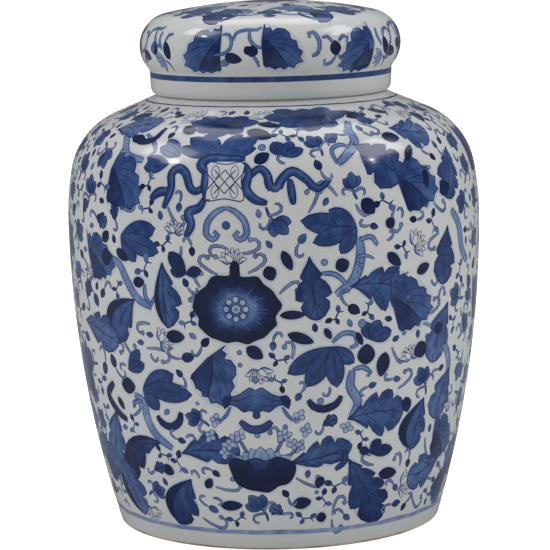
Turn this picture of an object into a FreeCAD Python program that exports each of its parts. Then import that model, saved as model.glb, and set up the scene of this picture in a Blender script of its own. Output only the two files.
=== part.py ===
import FreeCAD, Part

import math
import os

import Sketcher

# A porcelain ginger jar in two pieces: a round-shouldered jar on a foot ring, and a domed cap lid.
# The lid drops over the jar's neck and rests on a narrow seat at the top of the shoulder.
# Both pieces are turned about Z. The jar stands on z = 0, and the origin is the centre of its foot.

# Driving dimensions, in millimetres and degrees. Heights are above the surface that the jar stands on.
SIZES = {
    # jar: outside
    "belly_radius": 101.5,
    "belly_height": 150.5,
    "wall_radius": 525.0,
    "swell_radius": 135.0,
    "shoulder_radius": 36.2,
    "shoulder_slope": 22.9,
    "seat_radius": 56.2,
    "seat_height": 211.2,
    "neck_radius": 50.5,
    "mouth_height": 232.0,
    # jar: inside and foot
    "mouth_radius": 45.5,
    "jar_wall": 5.5,
    "floor_height": 12.0,
    "floor_corner": 14.0,
    "foot_depth": 5.0,
    "foot_inner_radius": 70.0,
    "foot_draft": 1.5,
    # lid: outside
    "bulge_radius": 16.15,
    "bulge_centre": 47.85,
    "bulge_height": 234.9,
    "dome_radius": 246.2,
    "skirt_top": 59.4,
    "skirt_bottom": 58.9,
    # lid: inside
    "lid_wall": 5.5,
    "rim_inner_radius": 52.0,
    # rounded edges
    "foot_round": 1.2,
    "foot_inner_round": 0.8,
    "lip_round": 2.2,
    "throat_round": 8.0,
    "neck_round": 1.5,
    "rim_round": 4.3,
    "rim_inner_round": 0.5,
    "waist_round": 3.0,
}

FULL_TURN = 360.0

# How near an edge must pass to the place that names it
EDGE_MATCH = 0.05

CUBIC_MM_PER_LITRE = 1e6

# Sketcher's numbers for the two axes, for the origin, and for the three points of an arc or line
H_AXIS, V_AXIS = -1, -2
ORIGIN = (-1, 1)
START, END, CENTRE = 1, 2, 3


def make_sheet(doc):
    """The spreadsheet of driving dimensions, with one named cell for each."""
    sheet = doc.addObject("Spreadsheet::Sheet", "sizes")
    for row, (name, value) in enumerate(SIZES.items(), start=1):
        sheet.set(f"A{row}", name)
        sheet.set(f"B{row}", str(value))
        sheet.setAlias(f"B{row}", name)
    doc.recompute()
    return sheet


def polar(centre, radius, angle):
    return (centre[0] + radius * math.cos(angle), centre[1] + radius * math.sin(angle))


class Section:
    """One closed chain of lines and arcs in a body's XZ plane: sketch x is radius and sketch y is height."""

    def __init__(self, body, name):
        self.body = body
        self.sketch = body.newObject("Sketcher::SketchObject", name)
        plane = next(feature for feature in body.Origin.OriginFeatures if feature.Role == "XZ_Plane")
        self.sketch.AttachmentSupport = [(plane, "")]
        self.sketch.MapMode = "FlatFace"
        self.first_end = None
        self.last_end = None

    def add(self, curve, start, end, smooth):
        """Joins a curve to the one before it, and keeps the tangent where smooth is true."""
        item = self.sketch.addGeometry(curve, False)
        if self.last_end:
            self.rule("Tangent" if smooth else "Coincident", *self.last_end, item, start)
        else:
            self.first_end = (item, start)
        self.last_end = (item, end)
        return item

    def line(self, start, end, smooth=False):
        segment = Part.LineSegment(FreeCAD.Vector(*start, 0), FreeCAD.Vector(*end, 0))
        return self.add(segment, START, END, smooth)

    def arc(self, centre, radius, first, last, smooth=False):
        """An arc traced from angle first to angle last, in radians, whichever way round that is."""
        circle = Part.Circle(FreeCAD.Vector(*centre, 0), FreeCAD.Vector(0, 0, 1), radius)
        arc = Part.ArcOfCircle(circle, min(first, last), max(first, last))
        ends = (START, END) if first < last else (END, START)
        return self.add(arc, *ends, smooth)

    def close(self):
        self.rule("Coincident", *self.last_end, *self.first_end)

    def rule(self, kind, *where):
        return self.sketch.addConstraint(Sketcher.Constraint(kind, *where))

    def bind(self, kind, where, value, expression):
        """A dimension that starts at value and then follows an expression."""
        number = self.rule(kind, *where, value)
        self.sketch.setExpression(f"Constraints[{number}]", expression)

    def radius(self, item, value, expression):
        self.bind("Radius", (item,), value, expression)

    def across(self, item, point, value, expression):
        """The point's distance from the axis of the jar."""
        self.bind("DistanceX", (*ORIGIN, item, point), value, expression)

    def up(self, item, point, value, expression):
        """The point's height."""
        self.bind("DistanceY", (*ORIGIN, item, point), value, expression)

    def turn(self, name):
        """The solid that the section makes when it turns once round Z."""
        if not self.sketch.FullyConstrained:
            raise RuntimeError(f"{self.sketch.Label} isn't fully constrained")
        solid = self.body.newObject("PartDesign::Revolution", name)
        solid.Profile = self.sketch
        solid.ReferenceAxis = (self.sketch, ["V_Axis"])
        solid.Angle = FULL_TURN
        self.body.Document.recompute()
        return solid


def round_edges(body, name, alias, places):
    """A fillet on the round edges that pass through the given radii and heights. The sheet gives its size."""
    names = []
    for radius, height in places:
        for number, edge in enumerate(body.Shape.Edges, start=1):
            curve = edge.Curve
            if isinstance(curve, Part.Circle):
                if math.hypot(curve.Radius - radius, curve.Center.z - height) < EDGE_MATCH:
                    names.append(f"Edge{number}")
                    break
        else:
            raise RuntimeError(f"{body.Label} has no round edge at radius {radius} and height {height}")
    base = body.Tip
    fillet = body.newObject("PartDesign::Fillet", name)
    fillet.Base = (base, names)
    fillet.Radius = SIZES[alias]
    fillet.setExpression("Radius", f"sizes.{alias}")
    body.Document.recompute()


def wall_layout(inset):
    """Where the jar's shoulder arc lies when its wall is moved in by inset, and the angles at its two ends.

    The shoulder arc touches the cone that rises to the seat, and touches the swell arc from inside.
    """
    slope = math.radians(SIZES["shoulder_slope"])
    cone_angle = math.pi / 2 - slope
    shoulder = SIZES["shoulder_radius"]
    swell_centre = (SIZES["belly_radius"] - SIZES["swell_radius"], SIZES["belly_height"])
    below_seat = polar((SIZES["seat_radius"], SIZES["seat_height"]), -shoulder, cone_angle)
    # the centre slides down the slope from below_seat until it is the right distance from the swell's centre
    away = (below_seat[0] - swell_centre[0], below_seat[1] - swell_centre[1])
    along = away[0] * math.cos(slope) - away[1] * math.sin(slope)
    reach = SIZES["swell_radius"] - shoulder
    slide = -along + math.sqrt(along**2 - away[0] ** 2 - away[1] ** 2 + reach**2)
    centre = polar(below_seat, slide, -slope)
    swell_angle = math.atan2(centre[1] - swell_centre[1], centre[0] - swell_centre[0])
    cone_start = polar(centre, shoulder - inset, cone_angle)
    return centre, swell_angle, cone_angle, cone_start


def make_jar(doc):
    """The jar: foot ring, wall, shoulder, seat for the lid, neck, and the hollow inside."""
    body = doc.addObject("PartDesign::Body", "jar_body")
    body.Label = "jar_body"
    section = Section(body, "jar_section")

    belly, level, wall = SIZES["belly_radius"], SIZES["belly_height"], SIZES["jar_wall"]
    low_radius, swell_radius = SIZES["wall_radius"], SIZES["swell_radius"]
    shoulder_radius = SIZES["shoulder_radius"]
    low_centre = (belly - low_radius, level)
    swell_centre = (belly - swell_radius, level)
    centre, swell_angle, cone_angle, cone_start = wall_layout(0)
    inner_cone_start = wall_layout(wall)[3]
    seat = (SIZES["seat_radius"], SIZES["seat_height"])
    neck, mouth, top = SIZES["neck_radius"], SIZES["mouth_radius"], SIZES["mouth_height"]
    floor, corner = SIZES["floor_height"], SIZES["floor_corner"]
    foot_angle = -math.asin(level / low_radius)
    foot = polar(low_centre, low_radius, foot_angle)
    corner_angle = -math.asin((level - floor - corner) / (low_radius - wall - corner))
    corner_centre = polar(low_centre, low_radius - wall - corner, corner_angle)
    throat = (mouth, inner_cone_start[1] + (inner_cone_start[0] - mouth) / math.tan(cone_angle))
    recess, inner_foot = SIZES["foot_depth"], SIZES["foot_inner_radius"]
    recess_edge = inner_foot - SIZES["foot_draft"]

    # outside, from the foot up to the lip
    low = section.arc(low_centre, low_radius, foot_angle, 0)
    swell = section.arc(swell_centre, swell_radius, 0, swell_angle)
    shoulder = section.arc(centre, shoulder_radius, swell_angle, cone_angle, smooth=True)
    cone = section.line(cone_start, seat, smooth=True)
    ledge = section.line(seat, (neck, seat[1]))
    neck_side = section.line((neck, seat[1]), (neck, top))
    lip = section.line((neck, top), (mouth, top))

    # inside, from the lip down to the floor, parallel to the outside
    bore = section.line((mouth, top), throat)
    inner_cone = section.line(throat, inner_cone_start)
    inner_shoulder = section.arc(centre, shoulder_radius - wall, cone_angle, swell_angle, smooth=True)
    inner_swell = section.arc(swell_centre, swell_radius - wall, swell_angle, 0, smooth=True)
    inner_low = section.arc(low_centre, low_radius - wall, 0, corner_angle)
    turn_in = section.arc(corner_centre, corner, corner_angle, -math.pi / 2, smooth=True)
    floor_line = section.line((corner_centre[0], floor), (0, floor), smooth=True)

    # underneath, out along the recess and the foot ring
    axis = section.line((0, floor), (0, recess))
    recess_top = section.line((0, recess), (recess_edge, recess))
    recess_side = section.line((recess_edge, recess), (inner_foot, 0))
    foot_ring = section.line((inner_foot, 0), foot)
    section.close()

    section.across(low, END, belly, "sizes.belly_radius")
    section.up(low, END, level, "sizes.belly_height")
    section.up(low, CENTRE, level, "sizes.belly_height")
    section.radius(low, low_radius, "sizes.wall_radius")
    section.up(swell, CENTRE, level, "sizes.belly_height")
    section.radius(swell, swell_radius, "sizes.swell_radius")
    section.radius(shoulder, shoulder_radius, "sizes.shoulder_radius")
    section.bind("Angle", (cone,), math.pi / 2 + cone_angle, "(180 - sizes.shoulder_slope) * 1 deg")
    section.across(cone, END, seat[0], "sizes.seat_radius")
    section.up(cone, END, seat[1], "sizes.seat_height")
    section.rule("Horizontal", ledge)
    section.across(neck_side, START, neck, "sizes.neck_radius")
    section.rule("Vertical", neck_side)
    section.up(lip, START, top, "sizes.mouth_height")
    section.rule("Horizontal", lip)
    section.across(bore, START, mouth, "sizes.mouth_radius")
    section.rule("Vertical", bore)
    section.rule("Parallel", inner_cone, cone)
    section.rule("Coincident", inner_shoulder, CENTRE, shoulder, CENTRE)
    section.radius(inner_shoulder, shoulder_radius - wall, "sizes.shoulder_radius - sizes.jar_wall")
    section.up(inner_swell, CENTRE, level, "sizes.belly_height")
    section.radius(inner_swell, swell_radius - wall, "sizes.swell_radius - sizes.jar_wall")
    section.up(inner_low, END, level, "sizes.belly_height")
    section.up(inner_low, CENTRE, level, "sizes.belly_height")
    section.radius(inner_low, low_radius - wall, "sizes.wall_radius - sizes.jar_wall")
    section.radius(turn_in, corner, "sizes.floor_corner")
    section.up(floor_line, START, floor, "sizes.floor_height")
    section.rule("Horizontal", floor_line)
    section.rule("PointOnObject", axis, START, V_AXIS)
    section.rule("Vertical", axis)
    section.up(recess_top, START, recess, "sizes.foot_depth")
    section.rule("Horizontal", recess_top)
    section.across(recess_side, START, recess_edge, "sizes.foot_inner_radius - sizes.foot_draft")
    section.across(recess_side, END, inner_foot, "sizes.foot_inner_radius")
    section.rule("PointOnObject", foot_ring, START, H_AXIS)
    section.rule("Horizontal", foot_ring)
    section.turn("jar_turned")

    round_edges(body, "rounded_foot", "foot_round", [foot])
    round_edges(body, "rounded_recess", "foot_inner_round", [(inner_foot, 0)])
    round_edges(body, "rounded_throat", "throat_round", [throat])
    round_edges(body, "rounded_neck", "neck_round", [(neck, seat[1])])
    round_edges(body, "rounded_lip", "lip_round", [(neck, top), (mouth, top)])
    return body


def make_lid(doc):
    """The lid: a flat unglazed rim on the seat, a short straight skirt, a bulging edge and a low dome."""
    body = doc.addObject("PartDesign::Body", "lid")
    body.Label = "lid"
    section = Section(body, "lid_section")

    seat, wall, rim = SIZES["seat_height"], SIZES["lid_wall"], SIZES["rim_inner_radius"]
    skirt_top, skirt_bottom = SIZES["skirt_top"], SIZES["skirt_bottom"]
    bulge, dome_radius = SIZES["bulge_radius"], SIZES["dome_radius"]
    bulge_centre = (SIZES["bulge_centre"], SIZES["bulge_height"])
    waist_angle = -math.acos((skirt_top - bulge_centre[0]) / bulge)
    inner_angle = -math.acos((rim - bulge_centre[0]) / (bulge - wall))
    # the dome's centre is on the axis, so far down that the dome touches the bulge's arc from outside
    dome_angle = math.acos(bulge_centre[0] / (dome_radius - bulge))
    dome_centre = (0, bulge_centre[1] - (dome_radius - bulge) * math.sin(dome_angle))
    top_angle = math.pi / 2
    crown = polar(dome_centre, dome_radius, top_angle)
    inner_crown = polar(dome_centre, dome_radius - wall, top_angle)
    waist = polar(bulge_centre, bulge, waist_angle)
    inner_waist = polar(bulge_centre, bulge - wall, inner_angle)

    # outside, from the rim up to the crown
    rim_face = section.line((rim, seat), (skirt_bottom, seat))
    skirt = section.line((skirt_bottom, seat), waist)
    bulge_arc = section.arc(bulge_centre, bulge, waist_angle, dome_angle)
    dome = section.arc(dome_centre, dome_radius, dome_angle, top_angle, smooth=True)

    # inside, parallel to the outside, and straight down to the rim
    axis = section.line(crown, inner_crown)
    inner_dome = section.arc(dome_centre, dome_radius - wall, top_angle, dome_angle)
    inner_bulge = section.arc(bulge_centre, bulge - wall, dome_angle, inner_angle, smooth=True)
    inner_skirt = section.line(inner_waist, (rim, seat))
    section.close()

    section.across(rim_face, START, rim, "sizes.rim_inner_radius")
    section.up(rim_face, START, seat, "sizes.seat_height")
    section.rule("Horizontal", rim_face)
    section.across(rim_face, END, skirt_bottom, "sizes.skirt_bottom")
    section.across(skirt, END, skirt_top, "sizes.skirt_top")
    section.across(bulge_arc, CENTRE, bulge_centre[0], "sizes.bulge_centre")
    section.up(bulge_arc, CENTRE, bulge_centre[1], "sizes.bulge_height")
    section.radius(bulge_arc, bulge, "sizes.bulge_radius")
    section.rule("PointOnObject", dome, CENTRE, V_AXIS)
    section.radius(dome, dome_radius, "sizes.dome_radius")
    section.rule("PointOnObject", axis, START, V_AXIS)
    section.rule("PointOnObject", axis, END, V_AXIS)
    section.rule("Coincident", inner_dome, CENTRE, dome, CENTRE)
    section.radius(inner_dome, dome_radius - wall, "sizes.dome_radius - sizes.lid_wall")
    section.up(inner_bulge, CENTRE, bulge_centre[1], "sizes.bulge_height")
    section.radius(inner_bulge, bulge - wall, "sizes.bulge_radius - sizes.lid_wall")
    section.rule("Vertical", inner_skirt)
    section.turn("lid_turned")

    round_edges(body, "rounded_rim", "rim_round", [(skirt_bottom, seat)])
    round_edges(body, "rounded_rim_inside", "rim_inner_round", [(rim, seat)])
    round_edges(body, "rounded_waist", "waist_round", [waist, inner_waist])
    return body


def check(doc, bodies):
    """Stops at anything that failed to compute and at any piece that isn't one valid solid."""
    for item in doc.Objects:
        if {"Invalid", "Error"} & set(item.State):
            raise RuntimeError(f"{item.Label} failed: {item.State}")
    for body in bodies:
        shape = body.Shape
        if shape.isNull() or not shape.isValid() or len(shape.Solids) != 1:
            raise RuntimeError(f"{body.Label} isn't one valid solid")


def main():
    doc = FreeCAD.newDocument("ginger_jar")
    make_sheet(doc)
    bodies = [make_jar(doc), make_lid(doc)]
    doc.recompute()
    check(doc, bodies)
    os.makedirs("parts", exist_ok=True)
    for body in bodies:
        body.Shape.exportStep(f"parts/{body.Label}.step")
        box = body.Shape.optimalBoundingBox()
        litres = body.Shape.Volume / CUBIC_MM_PER_LITRE
        print(f"{body.Label}: {litres:.3f} l, radius {box.XMax:.2f}, z {box.ZMin:.2f} to {box.ZMax:.2f}")


main()
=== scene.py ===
import math
import random

import bpy
import numpy as np
from mathutils import Matrix, Vector
from mathutils.geometry import delaunay_2d_cdt


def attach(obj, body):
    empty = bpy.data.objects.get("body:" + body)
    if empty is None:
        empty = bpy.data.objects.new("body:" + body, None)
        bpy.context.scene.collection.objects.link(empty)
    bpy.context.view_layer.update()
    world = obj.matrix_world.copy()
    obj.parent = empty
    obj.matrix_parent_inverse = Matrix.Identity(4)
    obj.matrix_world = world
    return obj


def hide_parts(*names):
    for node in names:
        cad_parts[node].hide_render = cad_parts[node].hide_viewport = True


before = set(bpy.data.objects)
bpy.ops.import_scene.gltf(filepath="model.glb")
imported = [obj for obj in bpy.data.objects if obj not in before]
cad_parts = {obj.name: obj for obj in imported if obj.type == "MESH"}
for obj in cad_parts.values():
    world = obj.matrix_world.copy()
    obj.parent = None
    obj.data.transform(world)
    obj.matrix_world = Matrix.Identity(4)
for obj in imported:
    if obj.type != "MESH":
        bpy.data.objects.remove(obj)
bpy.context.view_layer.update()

# A blue-and-white porcelain ginger jar with its cap lid. Each of the two pieces is one closed mesh, turned
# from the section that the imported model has. Its painting is cut into the outer skin as areas of cobalt.
# Sections, sheets and marks are in millimetres and degrees, meshes and the studio in metres.

MM = 0.001
TURN = 2 * math.pi


# ---------------------------------------------------------------------------------------------------
# The sections of the two pieces
# ---------------------------------------------------------------------------------------------------

# jar
BELLY, BELLY_HEIGHT = 101.5, 150.5
WALL_ARC, SWELL_ARC, SHOULDER_ARC = 525.0, 135.0, 36.2
SHOULDER_SLOPE = 22.9
SEAT, SEAT_HEIGHT = 56.2, 211.2
NECK, MOUTH, MOUTH_HEIGHT = 50.5, 45.5, 232.0
WALL, FLOOR_HEIGHT, FLOOR_CORNER = 5.5, 12.0, 14.0
FOOT_DEPTH, FOOT_INNER, FOOT_CHAMFER = 5.0, 70.0, 1.5
# the painted outside starts at this height, on the outer side of the foot ring
OUTSIDE_LOW = 1.2
# how far the rounding of each corner reaches along both of its sides
ROUND_RECESS, ROUND_FOOT_INNER, ROUND_FOOT_OUTER = 1.2, 0.6, 0.9
ROUND_SEAT, ROUND_LIP, ROUND_THROAT = 1.5, 2.2, 5.3

# lid
BULGE, BULGE_CENTRE, BULGE_HEIGHT = 16.15, 47.85, 234.9
DOME_ARC = 246.2
SKIRT_TOP, SKIRT_BOTTOM, RIM_INNER = 59.4, 58.9, 52.0
RIM_START = 54.6
LID_WALL = 5.5
ROUND_SKIRT, ROUND_WAIST, ROUND_INSIDE, ROUND_RIM = 4.2, 1.05, 1.7, 0.5

SECTION_STEP = 0.25


def direction(degrees):
    return np.array([math.cos(math.radians(degrees)), math.sin(math.radians(degrees))])


def section_arc(centre, radius, first, last):
    """Points on an arc between two angles in degrees."""
    count = max(4, int(abs(math.radians(last - first)) * radius / SECTION_STEP))
    angles = np.radians(np.linspace(first, last, count + 1))
    return np.array(centre) + radius * np.stack([np.cos(angles), np.sin(angles)], axis=1)


def section_line(start, end):
    """Points along a straight line."""
    count = max(1, int(math.dist(start, end) / SECTION_STEP))
    return np.linspace(start, end, count + 1)


def chain(*runs):
    """Runs of points that follow each other as one run, without repeated points."""
    points = np.concatenate(runs)
    steps = np.linalg.norm(np.diff(points, axis=0), axis=1)
    return points[np.concatenate([[True], steps > 1e-5])]


def eased(first, second, reach):
    """Two runs that meet at a corner, which is rounded off for a reach of mm on both sides."""
    corner = first[-1]
    start = np.nonzero(np.linalg.norm(first - corner, axis=1) >= reach)[0][-1]
    end = np.nonzero(np.linalg.norm(second - corner, axis=1) >= reach)[0][0]
    ts = np.linspace(0, 1, 13)[:, None]
    curve = (1 - ts) ** 2 * first[start] + 2 * ts * (1 - ts) * corner + ts**2 * second[end]
    return chain(first[:start], curve, second[end + 1 :])


def shoulder_layout():
    """The shoulder arc's centre and its angle where it takes over from the swell above the belly."""
    slope = math.radians(SHOULDER_SLOPE)
    down_slope = np.array([math.cos(slope), -math.sin(slope)])
    swell_centre = np.array([BELLY - SWELL_ARC, BELLY_HEIGHT])
    below_seat = np.array([SEAT, SEAT_HEIGHT]) - SHOULDER_ARC * direction(90 - SHOULDER_SLOPE)
    away = below_seat - swell_centre
    along = away @ down_slope
    slide = -along + math.sqrt(along**2 - away @ away + (SWELL_ARC - SHOULDER_ARC) ** 2)
    centre = below_seat + slide * down_slope
    across, up = centre - swell_centre
    return centre, math.degrees(math.atan2(up, across))


def jar_wall(inset, low_angle):
    """The wall's three arcs, moved in by inset, from low_angle up to where the shoulder's slope starts."""
    centre, swell_angle = shoulder_layout()
    low = section_arc((BELLY - WALL_ARC, BELLY_HEIGHT), WALL_ARC - inset, low_angle, 0)
    swell = section_arc((BELLY - SWELL_ARC, BELLY_HEIGHT), SWELL_ARC - inset, 0, swell_angle)
    shoulder = section_arc(centre, SHOULDER_ARC - inset, swell_angle, 90 - SHOULDER_SLOPE)
    return chain(low, swell, shoulder)


def jar_sections():
    """The jar's section in three runs: under the foot, the painted outside, and the seat, lip and inside."""
    outside = jar_wall(0, -math.degrees(math.asin(BELLY_HEIGHT / WALL_ARC)))
    outside = chain(outside, section_line(outside[-1], (SEAT, SEAT_HEIGHT)))
    recess_edge = (FOOT_INNER - FOOT_CHAMFER, FOOT_DEPTH)
    under = eased(section_line((0, FOOT_DEPTH), recess_edge),
                  section_line(recess_edge, (FOOT_INNER, 0)), ROUND_RECESS)
    under = eased(under, section_line((FOOT_INNER, 0), outside[0]), ROUND_FOOT_INNER)
    whole = eased(under, outside, ROUND_FOOT_OUTER)
    inner_side = whole[:, 0] < FOOT_INNER + 2
    foot_top = np.argmin(np.abs(whole[:, 1] - OUTSIDE_LOW) + 100 * inner_side)

    inner_radius = WALL_ARC - WALL - FLOOR_CORNER
    corner_angle = -math.degrees(math.asin((BELLY_HEIGHT - FLOOR_HEIGHT - FLOOR_CORNER) / inner_radius))
    corner = np.array([BELLY - WALL_ARC, BELLY_HEIGHT]) + inner_radius * direction(corner_angle)
    inner = jar_wall(WALL, corner_angle)
    slope = math.tan(math.radians(SHOULDER_SLOPE))
    throat = (MOUTH, inner[-1][1] + (inner[-1][0] - MOUTH) * slope)
    rest = section_line((SEAT, SEAT_HEIGHT), (NECK, SEAT_HEIGHT))
    rest = eased(rest, section_line((NECK, SEAT_HEIGHT), (NECK, MOUTH_HEIGHT)), ROUND_SEAT)
    rest = eased(rest, section_line((NECK, MOUTH_HEIGHT), (MOUTH, MOUTH_HEIGHT)), ROUND_LIP)
    rest = eased(rest, section_line((MOUTH, MOUTH_HEIGHT), throat), ROUND_LIP)
    rest = eased(rest, section_line(throat, inner[-1]), ROUND_THROAT)
    rest = chain(rest, inner[::-1], section_arc(corner, FLOOR_CORNER, corner_angle, -90))
    rest = chain(rest, section_line(rest[-1], (0, FLOOR_HEIGHT)))
    return whole[: foot_top + 1], whole[foot_top:], rest


def lid_sections():
    """The lid's section in two runs: the painted outside, up to the crown, and the inside back down."""
    bulge_centre = np.array([BULGE_CENTRE, BULGE_HEIGHT])
    waist_angle = -math.degrees(math.acos((SKIRT_TOP - BULGE_CENTRE) / BULGE))
    inner_angle = -math.degrees(math.acos((RIM_INNER - BULGE_CENTRE) / (BULGE - LID_WALL)))
    dome_angle = math.degrees(math.acos(BULGE_CENTRE / (DOME_ARC - BULGE)))
    dome_centre = (0, BULGE_HEIGHT - (DOME_ARC - BULGE) * math.sin(math.radians(dome_angle)))
    bulge = section_arc(bulge_centre, BULGE, waist_angle, dome_angle)
    inner_bulge = section_arc(bulge_centre, BULGE - LID_WALL, dome_angle, inner_angle)
    outside = eased(section_line((RIM_START - 1, SEAT_HEIGHT), (SKIRT_BOTTOM, SEAT_HEIGHT)),
                    section_line((SKIRT_BOTTOM, SEAT_HEIGHT), bulge[0]), ROUND_SKIRT)
    outside = chain(eased(outside, bulge, ROUND_WAIST), section_arc(dome_centre, DOME_ARC, dome_angle, 90))
    inside = chain(section_arc(dome_centre, DOME_ARC - LID_WALL, 90, dome_angle), inner_bulge)
    inside = eased(inside, section_line(inner_bulge[-1], (RIM_INNER, SEAT_HEIGHT)), ROUND_INSIDE)
    inside = eased(inside, section_line((RIM_INNER, SEAT_HEIGHT), outside[0]), ROUND_RIM)
    return outside, inside


class Section:
    """A run of a section as a curve: at a distance along it, its radius and height and its outward normal."""

    def __init__(self, points, start=0.0):
        self.points = points
        self.start = start
        self.along = start + np.concatenate([[0], np.cumsum(np.linalg.norm(np.diff(points, axis=0), axis=1))])
        self.end = float(self.along[-1])
        tangents = np.gradient(points, self.along, axis=0)
        tangents /= np.linalg.norm(tangents, axis=1, keepdims=True)
        # every run has the clay on its left, so outward is on its right
        self.normals = np.stack([tangents[:, 1], -tangents[:, 0]], axis=1)

    def at(self, distance):
        return np.stack([np.interp(distance, self.along, self.points[:, i]) for i in (0, 1)], axis=-1)

    def normal_at(self, distance):
        normal = np.stack([np.interp(distance, self.along, self.normals[:, i]) for i in (0, 1)], axis=-1)
        return normal / np.linalg.norm(normal, axis=-1, keepdims=True)

    def radius_at(self, distance):
        return np.interp(distance, self.along, self.points[:, 0])

    def rows(self, longest, bend):
        """Distances for rows of vertices, a new one after longest mm or a bend of so many degrees."""
        rows = [self.start]
        last = self.normals[0]
        for distance, normal in zip(self.along[1:-1], self.normals[1:-1]):
            turned_by = math.degrees(math.acos(min(1.0, float(last @ normal))))
            if distance - rows[-1] >= longest or turned_by >= bend:
                rows.append(float(distance))
                last = normal
        return np.array([*rows, self.end])


# ---------------------------------------------------------------------------------------------------
# The painting: flat marks of cobalt, laid on a sheet that is wrapped on the clay later
# ---------------------------------------------------------------------------------------------------

# how dark a mark is, from 0, bare glaze, to 1, the deepest pool of cobalt
BARE, PALE, LIGHT, MID, BLUE, DEEP, INK = 0.0, 0.2, 0.34, 0.5, 0.62, 0.8, 1.0

# the widths of the two kinds of drawn line
OUTLINE, FINE = 0.62, 0.42
# how far a brush line may turn, in radians, within one mark
MOST_TURN = 1.5
# the cobalt bleeds a little into the glaze round a wash: the width and tone of that
HALO, HALO_TONE = 2.8, 0.1


def smooth_path(points, step=2.1):
    """A smooth curve through a few points, sampled about every step mm."""
    points = [np.array(p, float) for p in points]
    if len(points) == 2:
        count = max(1, int(np.linalg.norm(points[1] - points[0]) / (3 * step)))
        return [points[0] + (points[1] - points[0]) * i / count for i in range(count + 1)]
    padded = [2 * points[0] - points[1], *points, 2 * points[-1] - points[-2]]
    path = []
    for a, b, c, d in zip(padded, padded[1:], padded[2:], padded[3:]):
        count = max(1, int(round(np.linalg.norm(c - b) / step)))
        for i in range(count):
            t = i / count
            square, cube = 2 * a - 5 * b + 4 * c - d, 3 * b - a - 3 * c + d
            path.append(0.5 * (2 * b + (c - a) * t + square * t**2 + cube * t**3))
    path.append(points[-1])
    return path


def arc_path(centre, radius, first, last, step=2.0):
    count = max(3, int(abs(math.radians(last - first)) * radius / step))
    angles = [first + (last - first) * i / count for i in range(count + 1)]
    return [np.array(centre) + radius * direction(angle) for angle in angles]


def encloses(outline, xs, ys):
    """Which places are inside an outline, even one that crosses itself."""
    xs, ys = np.broadcast_arrays(xs, ys)
    x, y = xs.ravel(), ys.ravel()
    ends = np.roll(outline, -1, axis=0)
    ax, ay, bx, by = outline[:, :1], outline[:, 1:], ends[:, :1], ends[:, 1:]
    rise = np.where(by == ay, 1, by - ay)
    crossed = ((ay > y) != (by > y)) & (x < (bx - ax) * (y - ay) / rise + ax)
    return ((crossed * np.sign(rise)).sum(axis=0) != 0).reshape(xs.shape)


class Sheet:
    """The painting's marks in order, the last on top, over the bleeds.

    Sheet x runs round the pot and y up its profile, in mm.
    """

    def __init__(self, reference, section):
        self.reference = reference
        self.section = section
        self.bleeds = []
        self.marks = []

    def put(self, degrees, height, offsets):
        """Sheet points of offsets in mm from a place, in true proportion where the pot is narrower."""
        heights = self.kept_in(height + offsets[:, 1])
        across = offsets[:, 0] * self.reference / self.section.radius_at(heights)
        return np.stack([math.radians(degrees) * self.reference + across, heights], axis=1)

    def kept_in(self, heights):
        return np.clip(heights, self.section.start + 1, self.section.end - 1)

    def mark(self, points, values):
        """Keeps an outline, turned the way round that the cutting needs, and its values.

        These are its two tones and the two places where each is full.
        """
        x, y = points[:, 0], points[:, 1]
        area = x @ np.roll(y, -1) - y @ np.roll(x, -1)
        layer = self.bleeds if values[0] == HALO_TONE else self.marks
        layer.append((points if area > 0 else points[::-1], values))

    def wash(self, points, tone, far_tone, near, far):
        self.mark(points, (tone, far_tone, *near, *far))

    def stroke(self, points, halves, tone):
        """A brush line with its own width at every point, in pieces that turn no more than MOST_TURN."""
        steps = np.diff(points, axis=0)
        headings = np.unwrap(np.arctan2(steps[:, 1], steps[:, 0]))
        turning = [0, *np.abs(np.diff(headings)), 0]
        middle = np.concatenate([headings[:1], (headings[1:] + headings[:-1]) / 2, headings[-1:]])
        side = np.stack([-np.sin(middle), np.cos(middle)], axis=1) * np.array(halves)[:, None]
        first, turned_by = 0, 0
        for i in range(1, len(points)):
            turned_by += turning[i]
            if turned_by > MOST_TURN or i == len(points) - 1:
                near, far = (points - side)[first : i + 1], (points + side)[first : i + 1]
                self.mark(np.concatenate([near, far[::-1]]), (tone, tone, 0, 0, 1, 0))
                first, turned_by = i, 0

    def repeat_at_seam(self):
        """Marks that reach over one edge of the sheet also come in over the other."""
        half = math.pi * self.reference
        for layer in (self.bleeds, self.marks):
            for points, (tone, far_tone, near_x, near_y, far_x, far_y) in list(layer):
                over_right, over_left = points[:, 0].max() > half, points[:, 0].min() < -half
                for over, shift in ((over_right, -2 * half), (over_left, 2 * half)):
                    if over:
                        values = (tone, far_tone, near_x + shift, near_y, far_x + shift, far_y)
                        layer.append((points + (shift, 0), values))


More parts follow.
